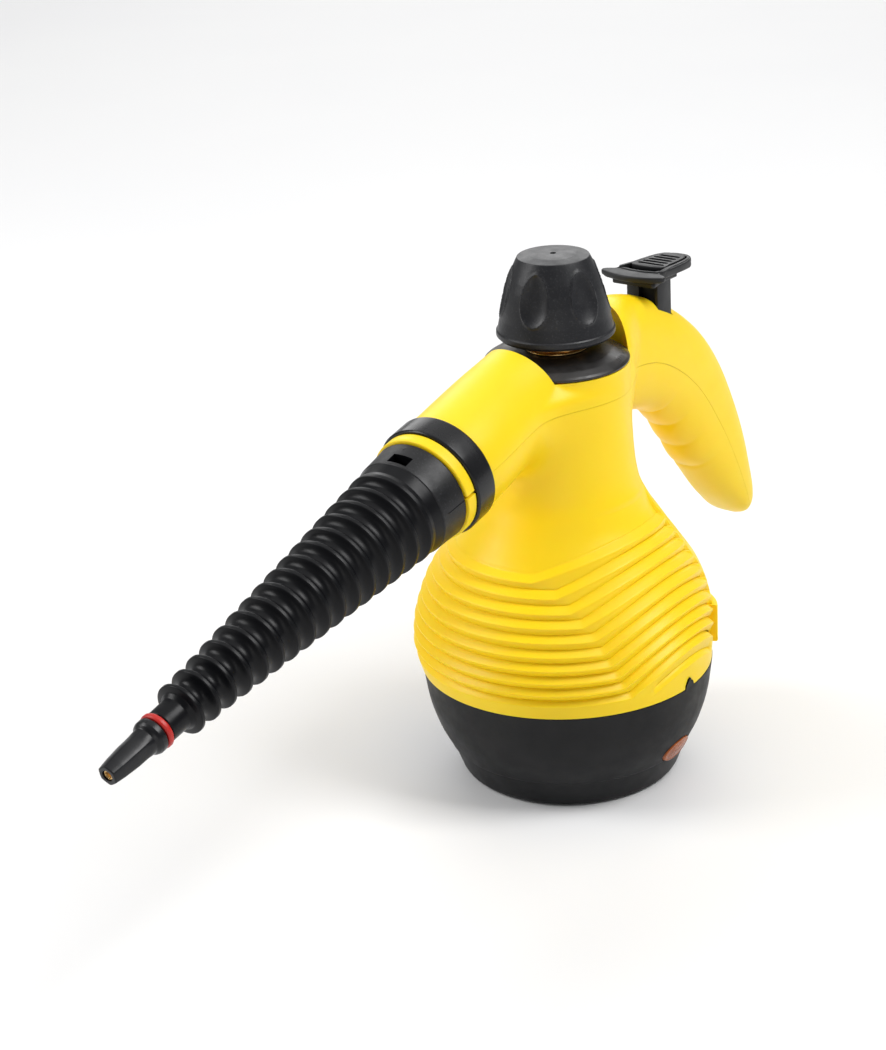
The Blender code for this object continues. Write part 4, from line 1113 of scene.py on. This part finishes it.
# ---------------------------------------------------------------- mains inlet
gland = lathe("gland", fillet([(3.6, 58.0), (3.6, 68.9, 0.5), (7.2, 68.9, 0.6), (8.0, 68.2, 0.4), (8.0, 66.8, 0.2), (5.7, 66.8), (5.7, 58.0)], 4), 72)
move(gland, Matrix.Translation((0, 0, INLET_Z)) @ Matrix.Rotation(-math.pi / 2, 4, "X"))
place(gland, "casing", "cord_gland", RUBBER, 40)


# ---------------------------------------------------------------- camera
def photo_camera():
    az, dist, height = 0.5996019104014513, 0.9, 0.48173553593227597
    yaw, pitch, roll, focal = 0.05376304463027101, 0.39502148593847136, -0.05633662803937893, 2408.1723514229084
    forward = Vector((-math.sin(az + yaw) * math.cos(pitch), math.cos(az + yaw) * math.cos(pitch), -math.sin(pitch)))
    right = Vector((math.cos(az + yaw), math.sin(az + yaw), 0))
    up = right.cross(forward)
    r2 = math.cos(roll) * right + math.sin(roll) * up
    u2 = -math.sin(roll) * right + math.cos(roll) * up
    data = bpy.data.cameras.new("camera")
    cam = bpy.data.objects.new("camera", data)
    bpy.context.scene.collection.objects.link(cam)
    cam.matrix_world = Matrix((
        (r2.x, u2.x, -forward.x, dist * math.sin(az)),
        (r2.y, u2.y, -forward.y, -dist * math.cos(az)),
        (r2.z, u2.z, -forward.z, height),
        (0, 0, 0, 1),
    ))
    data.sensor_width = 36
    data.sensor_fit = "AUTO"
    data.lens = focal * 36 / 1050
    data.clip_start = 0.02
    data.clip_end = 50
    bpy.context.scene.camera = cam
    return cam


camera = photo_camera()


# ---------------------------------------------------------------- floor and light
def floor_look():
    look = Look("pale_floor", (0.8, 0.8, 0.8), 0.6, Specular_IOR_Level=0.2)
    look.paint(look.ramp(look.noise(3, 2.0), 0.3, 0.7, 0.0, 1.0), (0.8, 0.8, 0.8), (0.785, 0.785, 0.79))
    return look.mat


floor_mesh = bpy.data.meshes.new("floor")
floor_mesh.from_pydata([(-6, -6, -0.0005), (6, -6, -0.0005), (6, 6, -0.0005), (-6, 6, -0.0005)], [], [(0, 1, 2, 3)])
floor = bpy.data.objects.new("floor", floor_mesh)
bpy.context.scene.collection.objects.link(floor)
floor_mesh.materials.append(floor_look())


def softbox(name, place_at, aim, size, power, colour=(1, 1, 1)):
    data = bpy.data.lights.new(name, "AREA")
    data.shape = "RECTANGLE"
    data.size, data.size_y = size
    data.energy = power
    data.color = colour
    obj = bpy.data.objects.new(name, data)
    bpy.context.scene.collection.objects.link(obj)
    obj.location = place_at
    obj.rotation_euler = (Vector(aim) - Vector(place_at)).to_track_quat("-Z", "Y").to_euler()
    return obj


# directions as seen by the camera: right is +X+Y, left is -X-Y
softbox("key_right", (1.0, 0.3, 1.45), (0, 0, 0.1), (0.7, 0.9), 22)
softbox("fill_left", (-1.1, -0.85, 1.1), (0, -0.05, 0.12), (0.7, 1.0), 16)
softbox("low_front", (1.0, -1.6, 0.12), (0, 0, 0.05), (1.6, 0.22), 3)
softbox("top", (0.0, 0.2, 1.9), (0, 0, 0.1), (2.2, 2.2), 11.5)
softbox("back", (-1.25, 1.85, 1.15), (0, 0, 0.15), (2.2, 1.3), 21)

bpy.context.scene.view_settings.view_transform = "Standard"
world = bpy.data.worlds.new("studio")
world.use_nodes = True
world.node_tree.nodes["Background"].inputs["Color"].default_value = (1, 1, 1, 1)
world.node_tree.nodes["Background"].inputs["Strength"].default_value = 0.27
bpy.context.scene.world = world
